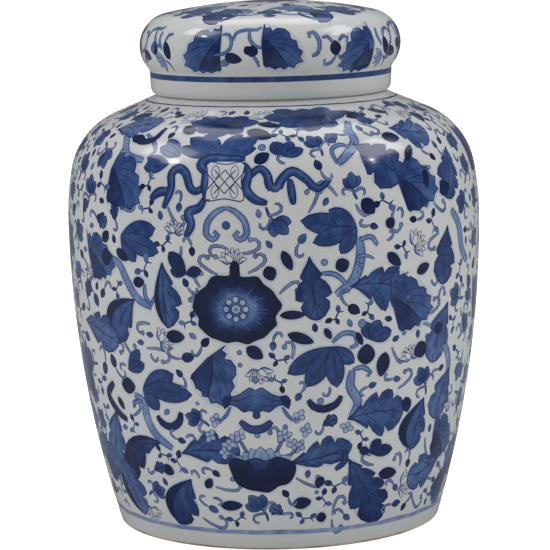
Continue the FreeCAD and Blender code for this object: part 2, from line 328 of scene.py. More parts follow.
class Brush:
    """Paints one motif in its own small frame: u along it and v to its left, in mm, before size and turn."""

    def __init__(self, sheet, degrees, height, turn=0, size=1, flip=False, ahead=0):
        self.sheet, self.degrees, self.height = sheet, degrees, height
        self.turn, self.size, self.flip, self.ahead = turn, size, flip, ahead

    def at(self, points):
        points = (np.array(points, float).reshape(-1, 2) + (self.ahead, 0)) * self.size
        if self.flip:
            points = points * (1, -1)
        along, left = direction(self.turn), direction(self.turn + 90)
        return self.sheet.put(self.degrees, self.height, points[:, :1] * along + points[:, 1:] * left)

    def wash(self, points, tone, far_tone=None, near=(0, 0), far=(1, 0)):
        near, far = self.at([near, far])
        self.sheet.wash(self.at(points), tone, tone if far_tone is None else far_tone, near, far)

    def line(self, points, width, tone, thin=0.45):
        """A line that thins to a share of its width at both ends."""
        points = self.at(points)
        share = np.sin(np.linspace(0, math.pi, len(points))) ** 0.5
        self.sheet.stroke(points, width / 2 * (thin + (1 - thin) * share), tone)

    def closed(self, points, width, tone):
        self.line([*points, points[0]], width, tone, thin=0.8)

    def bleed(self, outline):
        """The pale run of cobalt round a shape, with half of the shape's points."""
        self.closed(outline[::2], HALO, HALO_TONE)


# ---- motifs -------------------------------------------------------------------------------------

# the power that rounds a petal's ends
BLUNT = 0.7
# how much of a leaf's half width its notches take
LOBE_DEPTH = 0.42
# a leaf up to this length has no bleed and no paler middle
SMALL_LEAF = 15
# the petals in the back row of a small flower, and the angle that they fan over
BLOOM_PETALS, BLOOM_SPREAD = 7, 150


def petal_points(length, width, fullness, count=9):
    """The outline of a petal from its base at the origin to its tip on u, both sides."""
    ts = [i / count for i in range(1, count)]
    side = [(length * t, width / 2 * math.sin(math.pi * t**fullness) ** BLUNT) for t in ts]
    return [(0, 0), *side, (length, 0), *[(u, -v) for u, v in reversed(side)]]


def turned(points, degrees, start=(0, 0)):
    """Points turned about the origin and moved to start."""
    c, s = math.cos(math.radians(degrees)), math.sin(math.radians(degrees))
    return [(start[0] + u * c - v * s, start[1] + u * s + v * c) for u, v in points]


def petal(brush, angle, length, width, tone, far_tone=None, start=(0, 0), edge=DEEP, vein=True,
          line=FINE, fullness=0.75):
    """One petal or plain leaf at an angle, with an outline and perhaps a vein."""
    outline = turned(petal_points(length, width, fullness), angle, start)
    tip = turned([(length, 0)], angle, start)[0]
    brush.wash(outline, tone, far_tone, start, tip)
    brush.closed(outline, line, edge)
    if vein:
        middle = [(length * 0.15, 0), (length * 0.5, width * 0.04), (length * 0.82, 0)]
        brush.line(turned(middle, angle, start), line * 0.8, edge)


def lobe(phase):
    """How far out a leaf's edge is across a lobe: a notch, a quick rise, a round back and a small tip."""
    return np.interp(phase % 1, (0, 0.12, 0.4, 0.75, 0.92, 1), (0, 0.62, 0.92, 1, 0.8, 0))


def leaf(brush, length, left, right, bend, left_lobes, right_lobes, tone, tip, belly=1.35):
    """A curling leaf: a bent midrib with a different half on each side.

    A side with no lobes is folded over, dark.
    """
    count = 24
    angles = [math.radians(bend * (i / count - 0.5)) for i in range(count + 1)]
    rib = [np.zeros(2)]
    for a in angles[:-1]:
        rib.append(rib[-1] + length / count * np.array([math.cos(a), math.sin(a)]))

    def edge_point(t, side, share):
        i = min(int(t * count), count - 1)
        f = t * count - i
        point = rib[i] * (1 - f) + rib[i + 1] * f
        a = angles[i] * (1 - f) + angles[i + 1] * f
        width, lobes = (left, left_lobes) if side > 0 else (right, right_lobes)
        half = width * math.sin(math.pi * min(1, t) ** belly) ** 0.75
        lean = 0
        if lobes:
            half *= 1 - LOBE_DEPTH + LOBE_DEPTH * 1.2 * lobe(t * lobes)
            lean = 0.13 * width * lobe(t * lobes)
        normal = np.array([-math.sin(a), math.cos(a)]) * side
        return point + normal * half * share + lean * np.array([math.cos(a), math.sin(a)])

    def edge(side, share=1.0):
        lobes = left_lobes if side > 0 else right_lobes
        ts = [i / 10 for i in range(1, 10)]
        if lobes:
            ts = [(k + f) / lobes for k in range(lobes) for f in (0.02, 0.2, 0.48, 0.78, 0.95)][1:]
        return [edge_point(t, side, share) for t in ts if 0 < t < 0.99]

    outline = [rib[0], *edge(1), rib[-1], *reversed(edge(-1))]
    if length > SMALL_LEAF:
        brush.bleed(outline)
    brush.wash(outline, tone, tip, rib[0], rib[-1])
    if length > SMALL_LEAF:
        inner = [rib[2], *edge(1, 0.6), rib[-3], *reversed(edge(-1, 0.6))]
        brush.wash(inner, tone - 0.07, tip - 0.07, rib[0], rib[-1])
    for side, lobes in ((1, left_lobes), (-1, right_lobes)):
        if not lobes:
            brush.wash([rib[0], *edge(side), rib[-1], *reversed(edge(side, 0.5))], DEEP, INK, rib[0], rib[-1])
        for k in range(lobes):
            end = edge_point((k + 0.72) / lobes, side, 0.86)
            start = rib[int((k + 0.1) / lobes * count * 0.8)]
            middle = start * 0.5 + end * 0.5 + 0.1 * (end - start)[::-1] * (side, -side)
            brush.line(smooth_path([start, middle, end], 2.4), FINE, DEEP)
    brush.line([rib[0], rib[6], rib[12], rib[18], rib[-2]], OUTLINE, DEEP)
    brush.closed(outline, OUTLINE, DEEP)


def hand_leaf(brush, lobes, tone):
    """A lobed leaf: petals of the given angle, length and width, spread from a point, the last in front."""
    for angle, length, width in lobes:
        brush.bleed(turned(petal_points(length, width, 1.2), angle))
    for angle, length, width in lobes:
        petal(brush, angle, length, width, tone, line=OUTLINE, fullness=1.2)


def side_leaf(brush):
    """A leaf that hangs from its stem: a straight back edge on u, and a ruffled belly to its left."""
    outline = [(-1, 0.6), (1.6, 1), (1.2, 3.4), (3.4, 4.4), (1.8, 6.6), (2.2, 10), (4.6, 12.4), (7.6, 13),
               (8.6, 15.6), (12, 16.4), (13.6, 18.6), (16.4, 17.4), (18.4, 18.8), (19.4, 15.6),
               (21.6, 14.2), (20.6, 11.6), (22.4, 9.6), (20.8, 7.6), (22.2, 5.2), (20.4, 3.4), (21, 1),
               (19.6, 0), (9, -0.6)]
    brush.bleed(outline)
    brush.wash(outline, BLUE, MID, (2, 0), (20, 20))
    brush.wash([(7, 0), (12, 6), (20.4, 11.6), (22.2, 5.2), (20, 0)], DEEP, BLUE, (14, 0), (20, 14))
    for end in ((3.4, 9), (7.6, 12), (12.6, 15.6), (18, 16.4)):
        start = np.array((6.5, 0.5)) + 0.22 * np.array(end)
        middle = (start + end) / 2 + (-1, 0.8)
        brush.line(smooth_path([start, middle, end], 2.4), FINE, DEEP)
    brush.line(smooth_path([(6, 0), (12, 5.4), (20.6, 11.4)], 2.4), OUTLINE, INK)
    brush.closed(outline, OUTLINE, DEEP)


def bud(brush, length, width, tone=INK):
    outline = petal_points(length, width, 0.9)
    brush.bleed(outline)
    brush.wash(outline, tone, tone - 0.2, (0, 0), (length, 0))
    brush.closed(outline, FINE, tone)


def tube(brush, points, width, tone, edge, dots=0):
    """A stem or ribbon drawn with two dark edges and a paler middle, and a row of dots if asked."""
    path = smooth_path(points)
    brush.line([*path[:-1:2], path[-1]], width + HALO / 2, HALO_TONE, 0.85)
    brush.line(path, width, edge, 0.55)
    brush.line(path, width - 2 * OUTLINE, tone, 0.4)
    if dots:
        quarter = len(path) // 4
        for i in range(quarter, len(path) - quarter, 2):
            brush.line([path[i] - 0.35 * direction(45), path[i] + 0.35 * direction(45)], 0.6, edge, 0.9)


def stem(brush, points, width=1.9):
    """A pale stem between two blue edges."""
    tube(brush, points, width, LIGHT, BLUE)


def curl(brush, length, hook, width=1.9):
    """A tendril: a short stem that ends in a hook with a ball on its tip."""
    path = [np.array([0, 0]), np.array([length * 0.5, -hook * 0.15])]
    path.extend(arc_path((length, hook), hook, -90, 110))
    brush.line(path, width, DEEP, 0.6)
    brush.line(path, max(0.5, width - 1.8 * FINE), LIGHT, 0.7)
    tip = arc_path(path[-1], width * 0.62, 0, 330, 1.0)
    brush.wash(tip, LIGHT)
    brush.closed(tip, FINE, DEEP)


def ball(brush, radius, tone=LIGHT, edge=BLUE):
    circle = arc_path((0, 0), radius, 0, 330, 1.0)
    brush.wash(circle, tone)
    brush.closed(circle, FINE, edge)


def bloom(brush, size):
    """A small open flower seen from the side: pale petals in a fan over a pair of curling sepals."""
    for row, (reach, share, tone) in enumerate(((1.0, 1.0, PALE), (0.72, 0.6, BARE))):
        number = BLOOM_PETALS - 2 * row
        for k in range(number):
            angle = 90 + BLOOM_SPREAD * share * (k / (number - 1) - 0.5)
            petal(brush, angle, size * reach, size * 0.42, tone, BARE, edge=BLUE, vein=False)
    for side in (-1, 1):
        sepal = [(0, 0), (side * size * 0.4, -size * 0.12), (side * size * 0.75, size * 0.1)]
        brush.line(smooth_path(sepal, 1.2), 1.1, MID)


class Cap(Sheet):
    """The lid's sheet is a disc, as the lid is seen from above: the crown in its middle, the rim its edge."""

    # a motif this near the crown is laid on flat
    FLAT = 50.0

    def __init__(self, section):
        super().__init__(1.0, section)

    def put(self, degrees, height, offsets):
        """Sheet points of a motif: flat on the dome, and bent round in true proportion lower down."""
        rim = self.section.end - height
        if rim < self.FLAT:
            out, right = direction(degrees - 90), direction(degrees)
            return out * (rim - offsets[:, 1:]) + right * offsets[:, :1]
        heights = self.kept_in(height + offsets[:, 1])
        angles = math.radians(degrees) + offsets[:, 0] / self.section.radius_at(heights)
        rims = self.section.end - heights
        return np.stack([rims * np.sin(angles), -rims * np.cos(angles)], axis=1)


# ---- the jar's painting -------------------------------------------------------------------------

# Places are in degrees round from the front and mm up the profile. Stems and crescents have a whole path
# of them, and every other row starts with the one where its motif is.

# big curling leaves: turn, length, widths on both sides, bend, lobes on both sides, tone and tip tone
LEAVES = [
    # foot band
    (-28, 36, 245, 27, 9, 10, 10, 3, 0, BLUE, DEEP),
    (-37, 53, 225, 40, 8, 7, 95, 3, 0, BLUE, INK),
    (-30, 49, 2, 30, 9, 7, -35, 3, 2, BLUE, BLUE),
    (3, 46, 12, 31, 9, 5, 20, 4, 2, BLUE, BLUE),
    (21, 46, 298, 40, 10, 10, -10, 5, 3, BLUE, DEEP),
    (47, 71, 258, 26, 7, 11, 10, 3, 0, BLUE, BLUE),
    (61, 37, 200, 26, 9, 9, 10, 3, 3, BLUE, MID),
    (-61, 46, 290, 36, 10, 9, -15, 4, 0, BLUE, MID),
    # middle band
    (-41, 123, 230, 28, 9, 10, 25, 2, 0, BLUE, BLUE),
    (-67, 108, 345, 32, 9, 9, -20, 4, 2, BLUE, MID),
    (-31, 142, 272, 31, 9, 5, 10, 3, 0, BLUE, BLUE),
    (20, 66, 0, 31, 10, 12, -30, 4, 3, BLUE, BLUE),
    (20, 130, 352, 33, 8, 12, -30, 4, 3, BLUE, BLUE),
    (9, 145, 278, 30, 8, 8, 10, 3, 3, DEEP, BLUE),
    (55, 116, 250, 30, 9, 9, 20, 3, 2, BLUE, MID),
    (59, 83, 250, 26, 9, 9, 20, 3, 2, BLUE, MID),
    (-55, 66, 250, 30, 9, 8, 10, 3, 2, BLUE, MID),
    # shoulder band
    (24, 197, 318, 30, 9, 12, -20, 4, 2, DEEP, BLUE),
    (54, 153, 262, 28, 9, 8, 10, 3, 2, DEEP, BLUE),
    (40, 205, 345, 24, 9, 9, 10, 4, 3, BLUE, MID),
    (-60, 205, 20, 26, 8, 9, 10, 3, 3, MID, MID),
    (60, 190, 250, 26, 9, 9, 10, 4, 3, BLUE, BLUE),
]

# leaves with one straight edge: turn, size, and whether it is mirrored
HANGING = [
    (-14.5, 103.5, 222, 1.12, False), (31.5, 131, 285, 1.25, False), (34.5, 187, 285, 1.25, False),
    (-50, 194, 264, 1.25, False), (54, 60, 275, 1.1, False), (-62, 152, 285, 1.1, False),
    # the side of the jar, out of sight in the photograph
    (74, 200, 275, 1.2, False), (100, 196, 250, 1.1, True), (80, 160, 310, 1.25, False),
    (107, 152, 240, 1.15, True), (72, 124, 280, 1.1, False), (94, 117, 215, 1.3, False),
    (110, 98, 280, 1.2, True), (76, 85, 330, 1.25, False), (93, 70, 285, 1.1, False),
    (86, 42, 235, 1.2, True), (103, 48, 295, 1.2, False), (70, 32, 215, 0.9, False),
]

# lobed leaves: turn, tone, and each lobe's angle, length and width
HANDS = [
    (-45, 153, 0, BLUE, ((-52, 15, 8), (12, 22, 10), (-16, 24, 10))),
    (-41, 80, 0, BLUE, ((-50, 13, 8), (24, 21, 10), (-2, 28, 10))),
    (15, 102, 0, BLUE, ((-150, 24, 9), (-38, 14, 7), (-122, 22, 10), (-82, 20, 9))),
    (22, 157, 0, BLUE, ((170, 27, 10), (145, 16, 8), (195, 22, 8), (235, 14, 7))),
    (-46, 88, 0, BLUE, ((50, 14, 6), (20, 12, 6))),
    (-24, 137, 0, DEEP, ((130, 13, 7), (15, 8, 5), (170, 8, 5))),
    (-30, 188, 0, BLUE, ((172, 13, 6), (190, 14, 7))),
    (-27, 192, 0, MID, ((135, 13, 6), (160, 13, 6))),
    (3, 192, 0, BLUE, ((120, 9, 7), (60, 9, 6), (20, 10, 5))),
    (26, 104, 0, BLUE, ((110, 9, 6), (60, 10, 7), (15, 12, 7))),
    (28, 48, 0, DEEP, ((160, 6, 4), (0, 13, 6), (45, 8, 6))),
]

# buds: turn, length and width
BUDS = [
    (-31, 107, 0, 10, 6), (1, 118, 0, 12, 4), (2, 148, 295, 10, 4.5), (16, 139, 20, 7, 6.5),
    (-38, 41, 335, 7, 5.5), (-23, 32, 60, 6, 4), (32, 36, 355, 11, 6), (31, 97, 260, 12, 7),
    (31, 144, 320, 10, 5), (31, 156, 45, 5.5, 5), (-47, 146, 330, 9, 5), (-53, 149, 45, 7, 5),
    (-54, 141, 10, 9, 8), (-41, 131, 10, 7, 5), (-53, 73, 305, 7, 3.5), (-5, 189, 35, 8, 5.5),
    (24, 170, 310, 9, 7), (41, 133, 20, 9, 5), (-8, 103, 325, 9, 6), (3, 109, 340, 13, 5),
    (13, 111, 300, 6, 3), (22, 108, 295, 7, 3), (-19, 23, 5, 11, 5), (4, 24, 10, 9, 6),
    (39, 73, 290, 8, 6), (55, 48, 280, 9, 5), (49, 103, 20, 7, 6), (46, 181, 270, 9, 4),
    (40, 186, 50, 10, 4), (-30, 211, 320, 9, 6), (-8, 208, 335, 13, 7), (-5, 214, 345, 12, 4.5),
    (28, 217, 10, 12, 6), (25, 223, 345, 12, 4), (41, 223, 330, 10, 4), (13, 38, 250, 6, 4.5),
    (-2, 141, 290, 7, 6), (-48, 201, 355, 9, 5), (35, 200, 350, 10, 6), (56, 172, 200, 9, 7),
    (-50, 80, 0, 10, 8), (46, 97, 200, 9, 8), (25, 92, 90, 10, 9), (15, 17, 190, 5, 5),
]

# stems: width, whether dotted, and the path in degrees and mm
TUBES = [
    (5, 1, ((84, 196), (88, 186), (87, 176), (83, 168))),
    (5, 1, ((95, 130), (99, 122), (98, 112), (94, 104))),
    (4.5, 1, ((84, 92), (87, 84), (86, 74), (82, 66))),
    (4.5, 1, ((91, 40), (94, 32), (92, 24), (88, 18))),
    # a vine up each side, with leaf stems
    (5, 1, ((-45, 76), (-41.5, 73), (-41, 65), (-38.5, 57), (-33, 51))),
    (4.5, 1, ((-50, 142), (-46, 139), (-43.5, 132), (-40, 124), (-35, 120))),
    (5.2, 1, ((22.5, 153), (23, 144), (21, 133), (16, 126.5))),
    (5, 1, ((21, 90), (20.5, 82), (23, 74), (21, 66))),
    (5, 1, ((27, 213), (25, 206), (25, 198), (21, 191), (18, 187))),
    (4.5, 1, ((-54, 206), (-50, 199), (-46, 191), (-39, 189))),
    (5, 1, ((56, 160), (60, 152), (62, 140), (66, 133))),
    (4.5, 1, ((52, 99), (56, 92), (58, 84), (57, 78))),
    (2.6, 0, ((22.5, 151), (26, 152.5), (28, 148))),
    (2.6, 0, ((15, 104), (18, 108), (21.5, 107), (22, 102), (20, 101))),
    (2.6, 0, ((12, 137), (16, 136), (19, 131))),
    (2.6, 0, ((21, 90), (24, 91), (26.5, 88), (25.5, 86))),
    (2.4, 0, ((-42, 73), (-45, 72.5), (-46, 69))),
    (2.4, 0, ((-37, 131), (-37, 125), (-35, 121))),
    (2.4, 0, ((18, 187), (17, 194), (20, 197), (23, 195))),
    (2.4, 0, ((43, 186), (45, 182), (49, 181.5))),
    (2.4, 0, ((-43, 204), (-38, 199), (-36, 194), (-38, 190))),
    (2.2, 0, ((-36, 120), (-33, 127), (-32, 132))),
]

# dark crescents: width, tone and path
BANDS = [
    (4.2, DEEP, ((-37, 67), (-35.5, 63.5), (-32.5, 62), (-29.5, 65), (-28.5, 70))),
    (4.6, DEEP, ((-54, 80), (-58, 73), (-54, 65), (-50, 62))),
    (4, DEEP, ((8.5, 77), (10, 73.5), (13, 72), (16.5, 74), (18, 78))),
    (4, DEEP, ((-48, 202), (-43, 199), (-38.5, 201), (-37, 209))),
    (3.6, BLUE, ((17, 41), (20, 45), (19.5, 51))),
]

# tendrils: turn, length, the hook's radius, and whether it is mirrored
CURLS = [
    (-12, 149, 165, 6, 2.6, False), (-9, 147, 10, 7, 2.8, False), (-7, 138, 30, 8, 2.6, False),
    (-15, 137, 150, 9, 2.4, True), (-20, 131, 120, 6, 2, True), (-36, 112, 180, 6, 2.4, False),
    (-47, 104, 300, 8, 2.6, False), (-54, 98, 20, 9, 2.6, True), (-38, 100, 0, 10, 3, True),
    (-20, 33, 350, 9, 3, False), (5, 38, 330, 10, 2.6, False), (0, 56, 90, 6, 2, False),
    (30, 41, 160, 6, 2.4, True), (40, 38, 90, 5, 2, False), (50, 50, 290, 10, 3, False),
    (-26, 16, 330, 9, 3, False), (17, 17, 80, 8, 2.4, True), (17, 15, 280, 6, 2, False),
    (46, 112, 20, 7, 2.6, False), (50, 116, 80, 6, 2.2, True), (44, 108, 340, 6, 2.6, True),
    (38, 134, 200, 6, 2.4, True), (40, 128, 300, 8, 2.2, False), (27, 142, 160, 6, 2.4, False),
    (33, 99, 300, 8, 2.4, False), (4, 97, 80, 6, 2.2, False), (1, 128, 40, 8, 2.2, True),
    (34, 166, 250, 9, 3, False), (17, 172, 130, 8, 2.4, False), (22, 168, 300, 5, 2.4, False),
    (-47, 168, 340, 9, 3, False), (-29, 168, 300, 9, 2.4, False), (-25, 150, 260, 6, 2.2, True),
    (30, 210, 330, 8, 2.4, True), (46, 215, 60, 8, 3, False), (0, 206, 60, 8, 3, False),
    (-22, 117, 60, 7, 2.8, False), (-47, 65, 30, 6, 2.4, False), (-52, 30, 100, 8, 2.4, True),
    (48, 22, 300, 9, 3, False), (-57, 24, 200, 8, 2.4, True), (36, 78, 30, 8, 2.6, False),
    (48, 165, 320, 7, 2.4, False), (50, 150, 200, 7, 2.6, False), (9, 165, 60, 9, 2.6, False),
]

# small open flowers: turn and size
BLOOMS = [
    (-2, 219, 0, 8), (-29, 219, 60, 8), (40, 146, 300, 8), (-33, 104, 290, 7), (40, 92, 10, 7),
    (42, 28, 270, 8), (-47, 17, 180, 7), (-5, 92, 190, 7), (-11, 143, 0, 7), (-27, 156, 350, 6),
    (56, 212, 30, 7), (-60, 130, 40, 7), (60, 60, 20, 7),
]

# balls: radius
DOTS = [
    (-10, 100.5, 1.2), (-10, 94.5, 1.1), (-6, 87.5, 1.6), (-6, 60, 1.3), (13, 142, 1.6), (37, 105, 1.2),
    (2, 64, 1.2), (12, 76, 1.6), (11.5, 30, 1), (23.5, 112, 2), (38, 122, 1), (-23, 75, 1), (-3, 197, 1.8),
]

# tiny blossoms
SPRIGS = [(-13, 57), (2, 59), (-18, 67), (8, 62), (-20, 59), (-16, 51), (6, 54), (20, 62), (6, 69)]


# what grows in the gaps starts and ends at these heights
JAR_FIELD = (11, 229)
# bands all the way round: height, width and tone
BASE_LINES = [(9.4, 2.3, 0.28), (230.6, 1.1, BLUE)]


def ribbon(brush, points, width=4.6):
    """A fluttering ribbon: a dark edge, a blue body, and a paler stripe along it that is a painted highlight.
    """
    path = smooth_path(points, 1.3)
    brush.line(path, width + 1.4, HALO_TONE, 0.7)
    brush.line(path, width, DEEP, 0.4)
    brush.line(path, width - 1.2, BLUE, 0.2)
    # a paler stripe set a little off the middle: a painted highlight on the ribbon
    brush.line([point + (0.3, 0.5) for point in path[2:-2]], width * 0.3, MID, 0.3)


def knot(sheet, degrees, height):
    """A plain woven lattice in a notched frame, between fluttering ribbons."""
    brush = Brush(sheet, degrees, height)
    ribbon(brush, [(-26, -3), (-29, -5), (-33, -5.5), (-38, -9)])
    ribbon(brush, [(-9, -1), (-13, -4.5), (-16.5, -3), (-19, 3.5), (-23, 6), (-26.5, 3), (-26.5, -4),
                   (-30.5, -13)])
    ribbon(brush, [(-9, -7), (-12, -12), (-17.5, -14.5), (-16, -20), (-19, -26)])
    ribbon(brush, [(30, 1), (31, -5), (32, -11)], 4)
    ribbon(brush, [(9, -2), (12, 3), (16, 6), (19.5, 3), (21, -2), (24, -3.5), (26.5, 1), (31, 4.5),
                   (37, 1), (43, -4), (49, 0)])
    ribbon(brush, [(8, 9), (11, 4), (10, -3), (14, -8), (20, -10)])
    ribbon(brush, [(-8, -9), (-9.5, -3), (-9, 4), (-12, 8), (-8, 11), (0, 11), (9, 11)], 5)
    brush.wash([(-9, 8), (-7, 9.5), (7, 9.5), (9, 8), (8, 0), (8.8, -8), (-8.8, -8), (-8, 0)], BARE)
    for slope in (-1, 1):
        for shift in (-5, 0, 5):
            brush.line([(shift - 5, -slope * 5.5), (shift + 5, slope * 5.5)], OUTLINE, BLUE, 0.9)
    for u, v in ((-4.5, 5.5), (4.5, 5.5), (-4.5, -5.5), (4.5, -5.5)):
        brush.closed(turned(petal_points(6.5, 3.6, 1), 90 if v > 0 else 270, (u, v * 0.25)), FINE, BLUE)
    notched = [(-9, 8), (-7, 9.5), (0, 8.2), (7, 9.5), (9, 8), (7.8, 0), (8.8, -8.6), (0, -7.8),
               (-8.8, -8.6), (-7.8, 0)]
    brush.closed(smooth_path([*notched, notched[0]], 2)[:-1], OUTLINE, BLUE)


def cloud_scroll(sheet, degrees, height):
    """A heart-shaped scroll of three parallel lines over a dot."""
    for side in (False, True):
        brush = Brush(sheet, degrees, height, 90, 1, side)
        scroll = [(8, 0), (6.5, 4), (2, 8.5), (-4, 9.5), (-6.5, 6.5), (-4.5, 4), (-2.5, 6)]
        stem(brush, scroll, 3.2)
    ball(Brush(sheet, degrees, height), 1.9, MID)


def medallion(sheet, degrees, height):
    """A dark full-blown flower with a beaded eye and pale rays."""
    brush = Brush(sheet, degrees, height)
    bloom_edge = [((1 + 0.05 * math.sin(7 * a) + 0.03 * math.sin(12 * a + 1)) * 20.5 * math.cos(a),
                   (1 + 0.04 * math.sin(6 * a + 2) + 0.03 * math.sin(13 * a)) * 16.5 * math.sin(a))
                  for a in np.radians(np.arange(0, 360, 6))]
    brush.bleed(bloom_edge)
    brush.wash(bloom_edge, INK)
    for reach, tone in ((0.84, 0.92), (0.7, DEEP), (0.62, 0.7), (0.55, BLUE), (0.48, MID), (0.42, 0.42)):
        brush.wash([(u * reach + 1.5 * (1 - reach), v * reach) for u, v in bloom_edge[::2]], tone)
    for k in range(9):
        angle = 40 * k + 12
        start, end = direction(angle - 8) * (13, 10), direction(angle + 10) * (19, 15.5)
        middle = (start + end) / 2 + direction(angle + 90) * 1.5
        brush.line(smooth_path([start, middle, end], 2.4), OUTLINE, INK)
    brush.wash([(-2.6, 13), (2.6, 13), (2.4, 20), (1.2, 22.5), (-1.2, 22.5), (-2.4, 20)], INK)
    for k in range(40):
        angle = 9 * k
        reach = 12.5 - 2 * (k % 3) + 2 * math.cos(math.radians(angle))
        brush.line([5.6 * direction(angle), reach * direction(angle) * (1, 0.85)], 0.45, LIGHT, 0.3)
    brush.wash([6.6 * direction(angle) for angle in range(0, 360, 20)], MID)
    for k in range(8):
        ball(Brush(sheet, degrees, height, 45 * k, ahead=4.6), 1.5, PALE, DEEP)
    ball(brush, 2.2, PALE, DEEP)
    ball(brush, 0.8, LIGHT, DEEP)


def bat(sheet, degrees, height):
    """A bat of blessing, in plain outline: two curling wings, a small body and a crescent below."""
    brush = Brush(sheet, degrees, height)
    wing = [(0, 6), (3, 7.5), (7, 4.5), (11, 3), (14, 3.5), (16, 1), (15, -3), (12.5, -1), (9, -2),
            (6, -4.5), (3, -3.5), (0, -5)]
    both = [*wing, *[(-u, v) for u, v in wing[-2:0:-1]]]
    brush.bleed(both)
    brush.wash(both, BLUE, MID, (0, -4), (0, 6))
    brush.closed(smooth_path([*both, both[0]])[:-1], OUTLINE, DEEP)
    for side in (-1, 1):
        brush.wash([(side * u, v) for u, v in ((11, 3), (14, 3.5), (16, 1), (15, -3), (12.5, -1))], DEEP)
        brush.line(smooth_path([(side * 2, 4), (side * 7, 1.5), (side * 13, 1)]), FINE, DEEP)
        brush.line(smooth_path([(side * 1, 0), (side * 4, -1.5), (side * 9, -1)]), FINE, DEEP)
        stem(brush, [(side * 12, -2), (side * 15, -7), (side * 18, -9), (side * 20, -8)], 1.8)
    tube(brush, [(-8, -9), (-3, -13), (3, -12.5), (7, -9)], 4.4, BLUE, DEEP)
    ball(Brush(sheet, degrees, height - 6), 1.8, BLUE, DEEP)


def lotus(sheet, degrees, height):
    """A wide dark lotus: a low bowl of petals with pale pointed tips along its top."""
    brush = Brush(sheet, degrees, height)
    for side in (-1, 1):
        for reach, rise in ((11, 12), (17, 7)):
            stem(brush, [(side * 5, 6), (side * reach * 0.8, rise + 1), (side * reach, rise + 5)], 1.8)
            sprig(sheet, degrees + side * reach * 0.56, height + rise + 6, 20 * reach)
    for k, angle in enumerate((150, 32, 130, 52, 112, 70, 92)):
        length = 13.5 if k > 1 else 16
        petal(brush, angle, length, 8, MID, PALE, start=(0, -1), edge=BLUE, fullness=0.8)
    bowl = [(-16, 3), (-13, 6.5), (-8, 5), (-3, 6.5), (2, 5), (7, 7), (12, 5.5), (15.5, 3), (15, -2),
            (12, -6.5), (7, -8), (3, -11), (-2, -10.5), (-7, -9.5), (-12, -7), (-14, -3)]
    bowl = smooth_path([*bowl, bowl[0]], 2)[:-1]
    brush.bleed(bowl)
    brush.wash(bowl, DEEP, INK, (0, 8), (0, -3))
    brush.wash([(-6, 5), (-2, 6.4), (2, 5), (4, 6), (2, 1), (-3, 0)], BLUE, DEEP, (0, 6), (0, 0))
    for start, end in (((-9, 5), (-5, -9)), ((-3, 6), (0, -10)), ((5, 6), (4, -10)), ((11, 5), (8, -7))):
        brush.line([start, end], FINE, INK)
    brush.closed(bowl, OUTLINE, INK)


def sprig(sheet, degrees, height, turn):
    """A tiny outlined blossom of four uneven petals."""
    brush = Brush(sheet, degrees, height, turn)
    for angle, length in ((20, 3.8), (110, 3), (200, 3.8), (290, 2.8)):
        petal(brush, angle, length, 2.6, PALE, PALE, edge=BLUE, vein=False, fullness=1.1)


def peony(sheet, degrees, height, size=1.0):
    """A heavy dark blossom with ruffled petals."""
    brush = Brush(sheet, degrees, height, 0, size)
    petals = ((175, 17, 8), (8, 17, 8), (150, 14, 8), (35, 13, 8), (205, 13, 8), (-30, 13, 8),
              (92, 8, 10), (262, 10, 11))
    for angle, length, width in petals:
        brush.bleed(turned(petal_points(length, width, 1.2), angle))
    for angle, length, width in petals:
        petal(brush, angle, length, width, DEEP, BLUE, edge=INK, fullness=1.2)
    brush.wash(petal_points(7, 6, 0.9), INK, DEEP)


def bow(sheet, degrees, height):
    """Wide soft leaves spread like a bow."""
    brush = Brush(sheet, degrees, height)
    petals = ((150, 19, 9), (30, 19, 9), (128, 15, 8), (55, 15, 7), (172, 22, 7), (12, 17, 7))
    for angle, length, width in petals:
        petal(brush, angle, length, width, MID, BLUE, edge=BLUE, fullness=1.1)


def paint_leaves(sheet, shift):
    for degrees, height, turn, length, left, right, bend, left_lobes, right_lobes, tone, tip in LEAVES:
        brush = Brush(sheet, degrees + shift, height, turn)
        leaf(brush, length, left, right, bend, left_lobes, right_lobes, tone, tip)


def paint_half(sheet, shift):
    """Everything on one side of the jar, and the same again round the back when shift is half a turn."""
    for width, dots, path in TUBES:
        place_path(sheet, path, shift, lambda brush, points: tube(brush, points, width, LIGHT, BLUE, dots))
    for degrees, height, turn, length, hook, flip in CURLS:
        curl(Brush(sheet, degrees + shift, height, turn, 1, flip), length, hook)
    for degrees, height, turn, size in BLOOMS:
        bloom(Brush(sheet, degrees + shift, height, turn), size)
    paint_leaves(sheet, shift)
    for degrees, height, turn, size, flip in HANGING:
        side_leaf(Brush(sheet, degrees + shift, height, turn, size, flip))
    for degrees, height, turn, tone, lobes in HANDS:
        hand_leaf(Brush(sheet, degrees + shift, height, turn), lobes, tone)
    for width, tone, path in BANDS:
        place_path(sheet, path, shift, lambda brush, points: tube(brush, points, width, tone, INK))
    for degrees, height, turn, length, width in BUDS:
        bud(Brush(sheet, degrees + shift, height, turn), length, width)
    for degrees, height, radius in DOTS:
        ball(Brush(sheet, degrees + shift, height), radius)
    for degrees, height in SPRIGS:
        sprig(sheet, degrees + shift, height, degrees * 7)
    bow(sheet, -15 + shift, 193)
    peony(sheet, -17 + shift, 213)
    peony(sheet, 13 + shift, 218, 1.2)
    cloud_scroll(sheet, -12.5 + shift, 160)
    knot(sheet, -13 + shift, 180)
    medallion(sheet, -10.5 + shift, 121)
    bat(sheet, -6 + shift, 76)
    lotus(sheet, -5 + shift, 42)


def place_path(sheet, path, shift, paint):
    """Paints along a path given in degrees and mm up the profile."""
    degrees, height = path[0]
    offsets = [(math.radians(d - degrees) * float(sheet.section.radius_at(h)), h - height) for d, h in path]
    paint(Brush(sheet, degrees + shift, height), offsets)


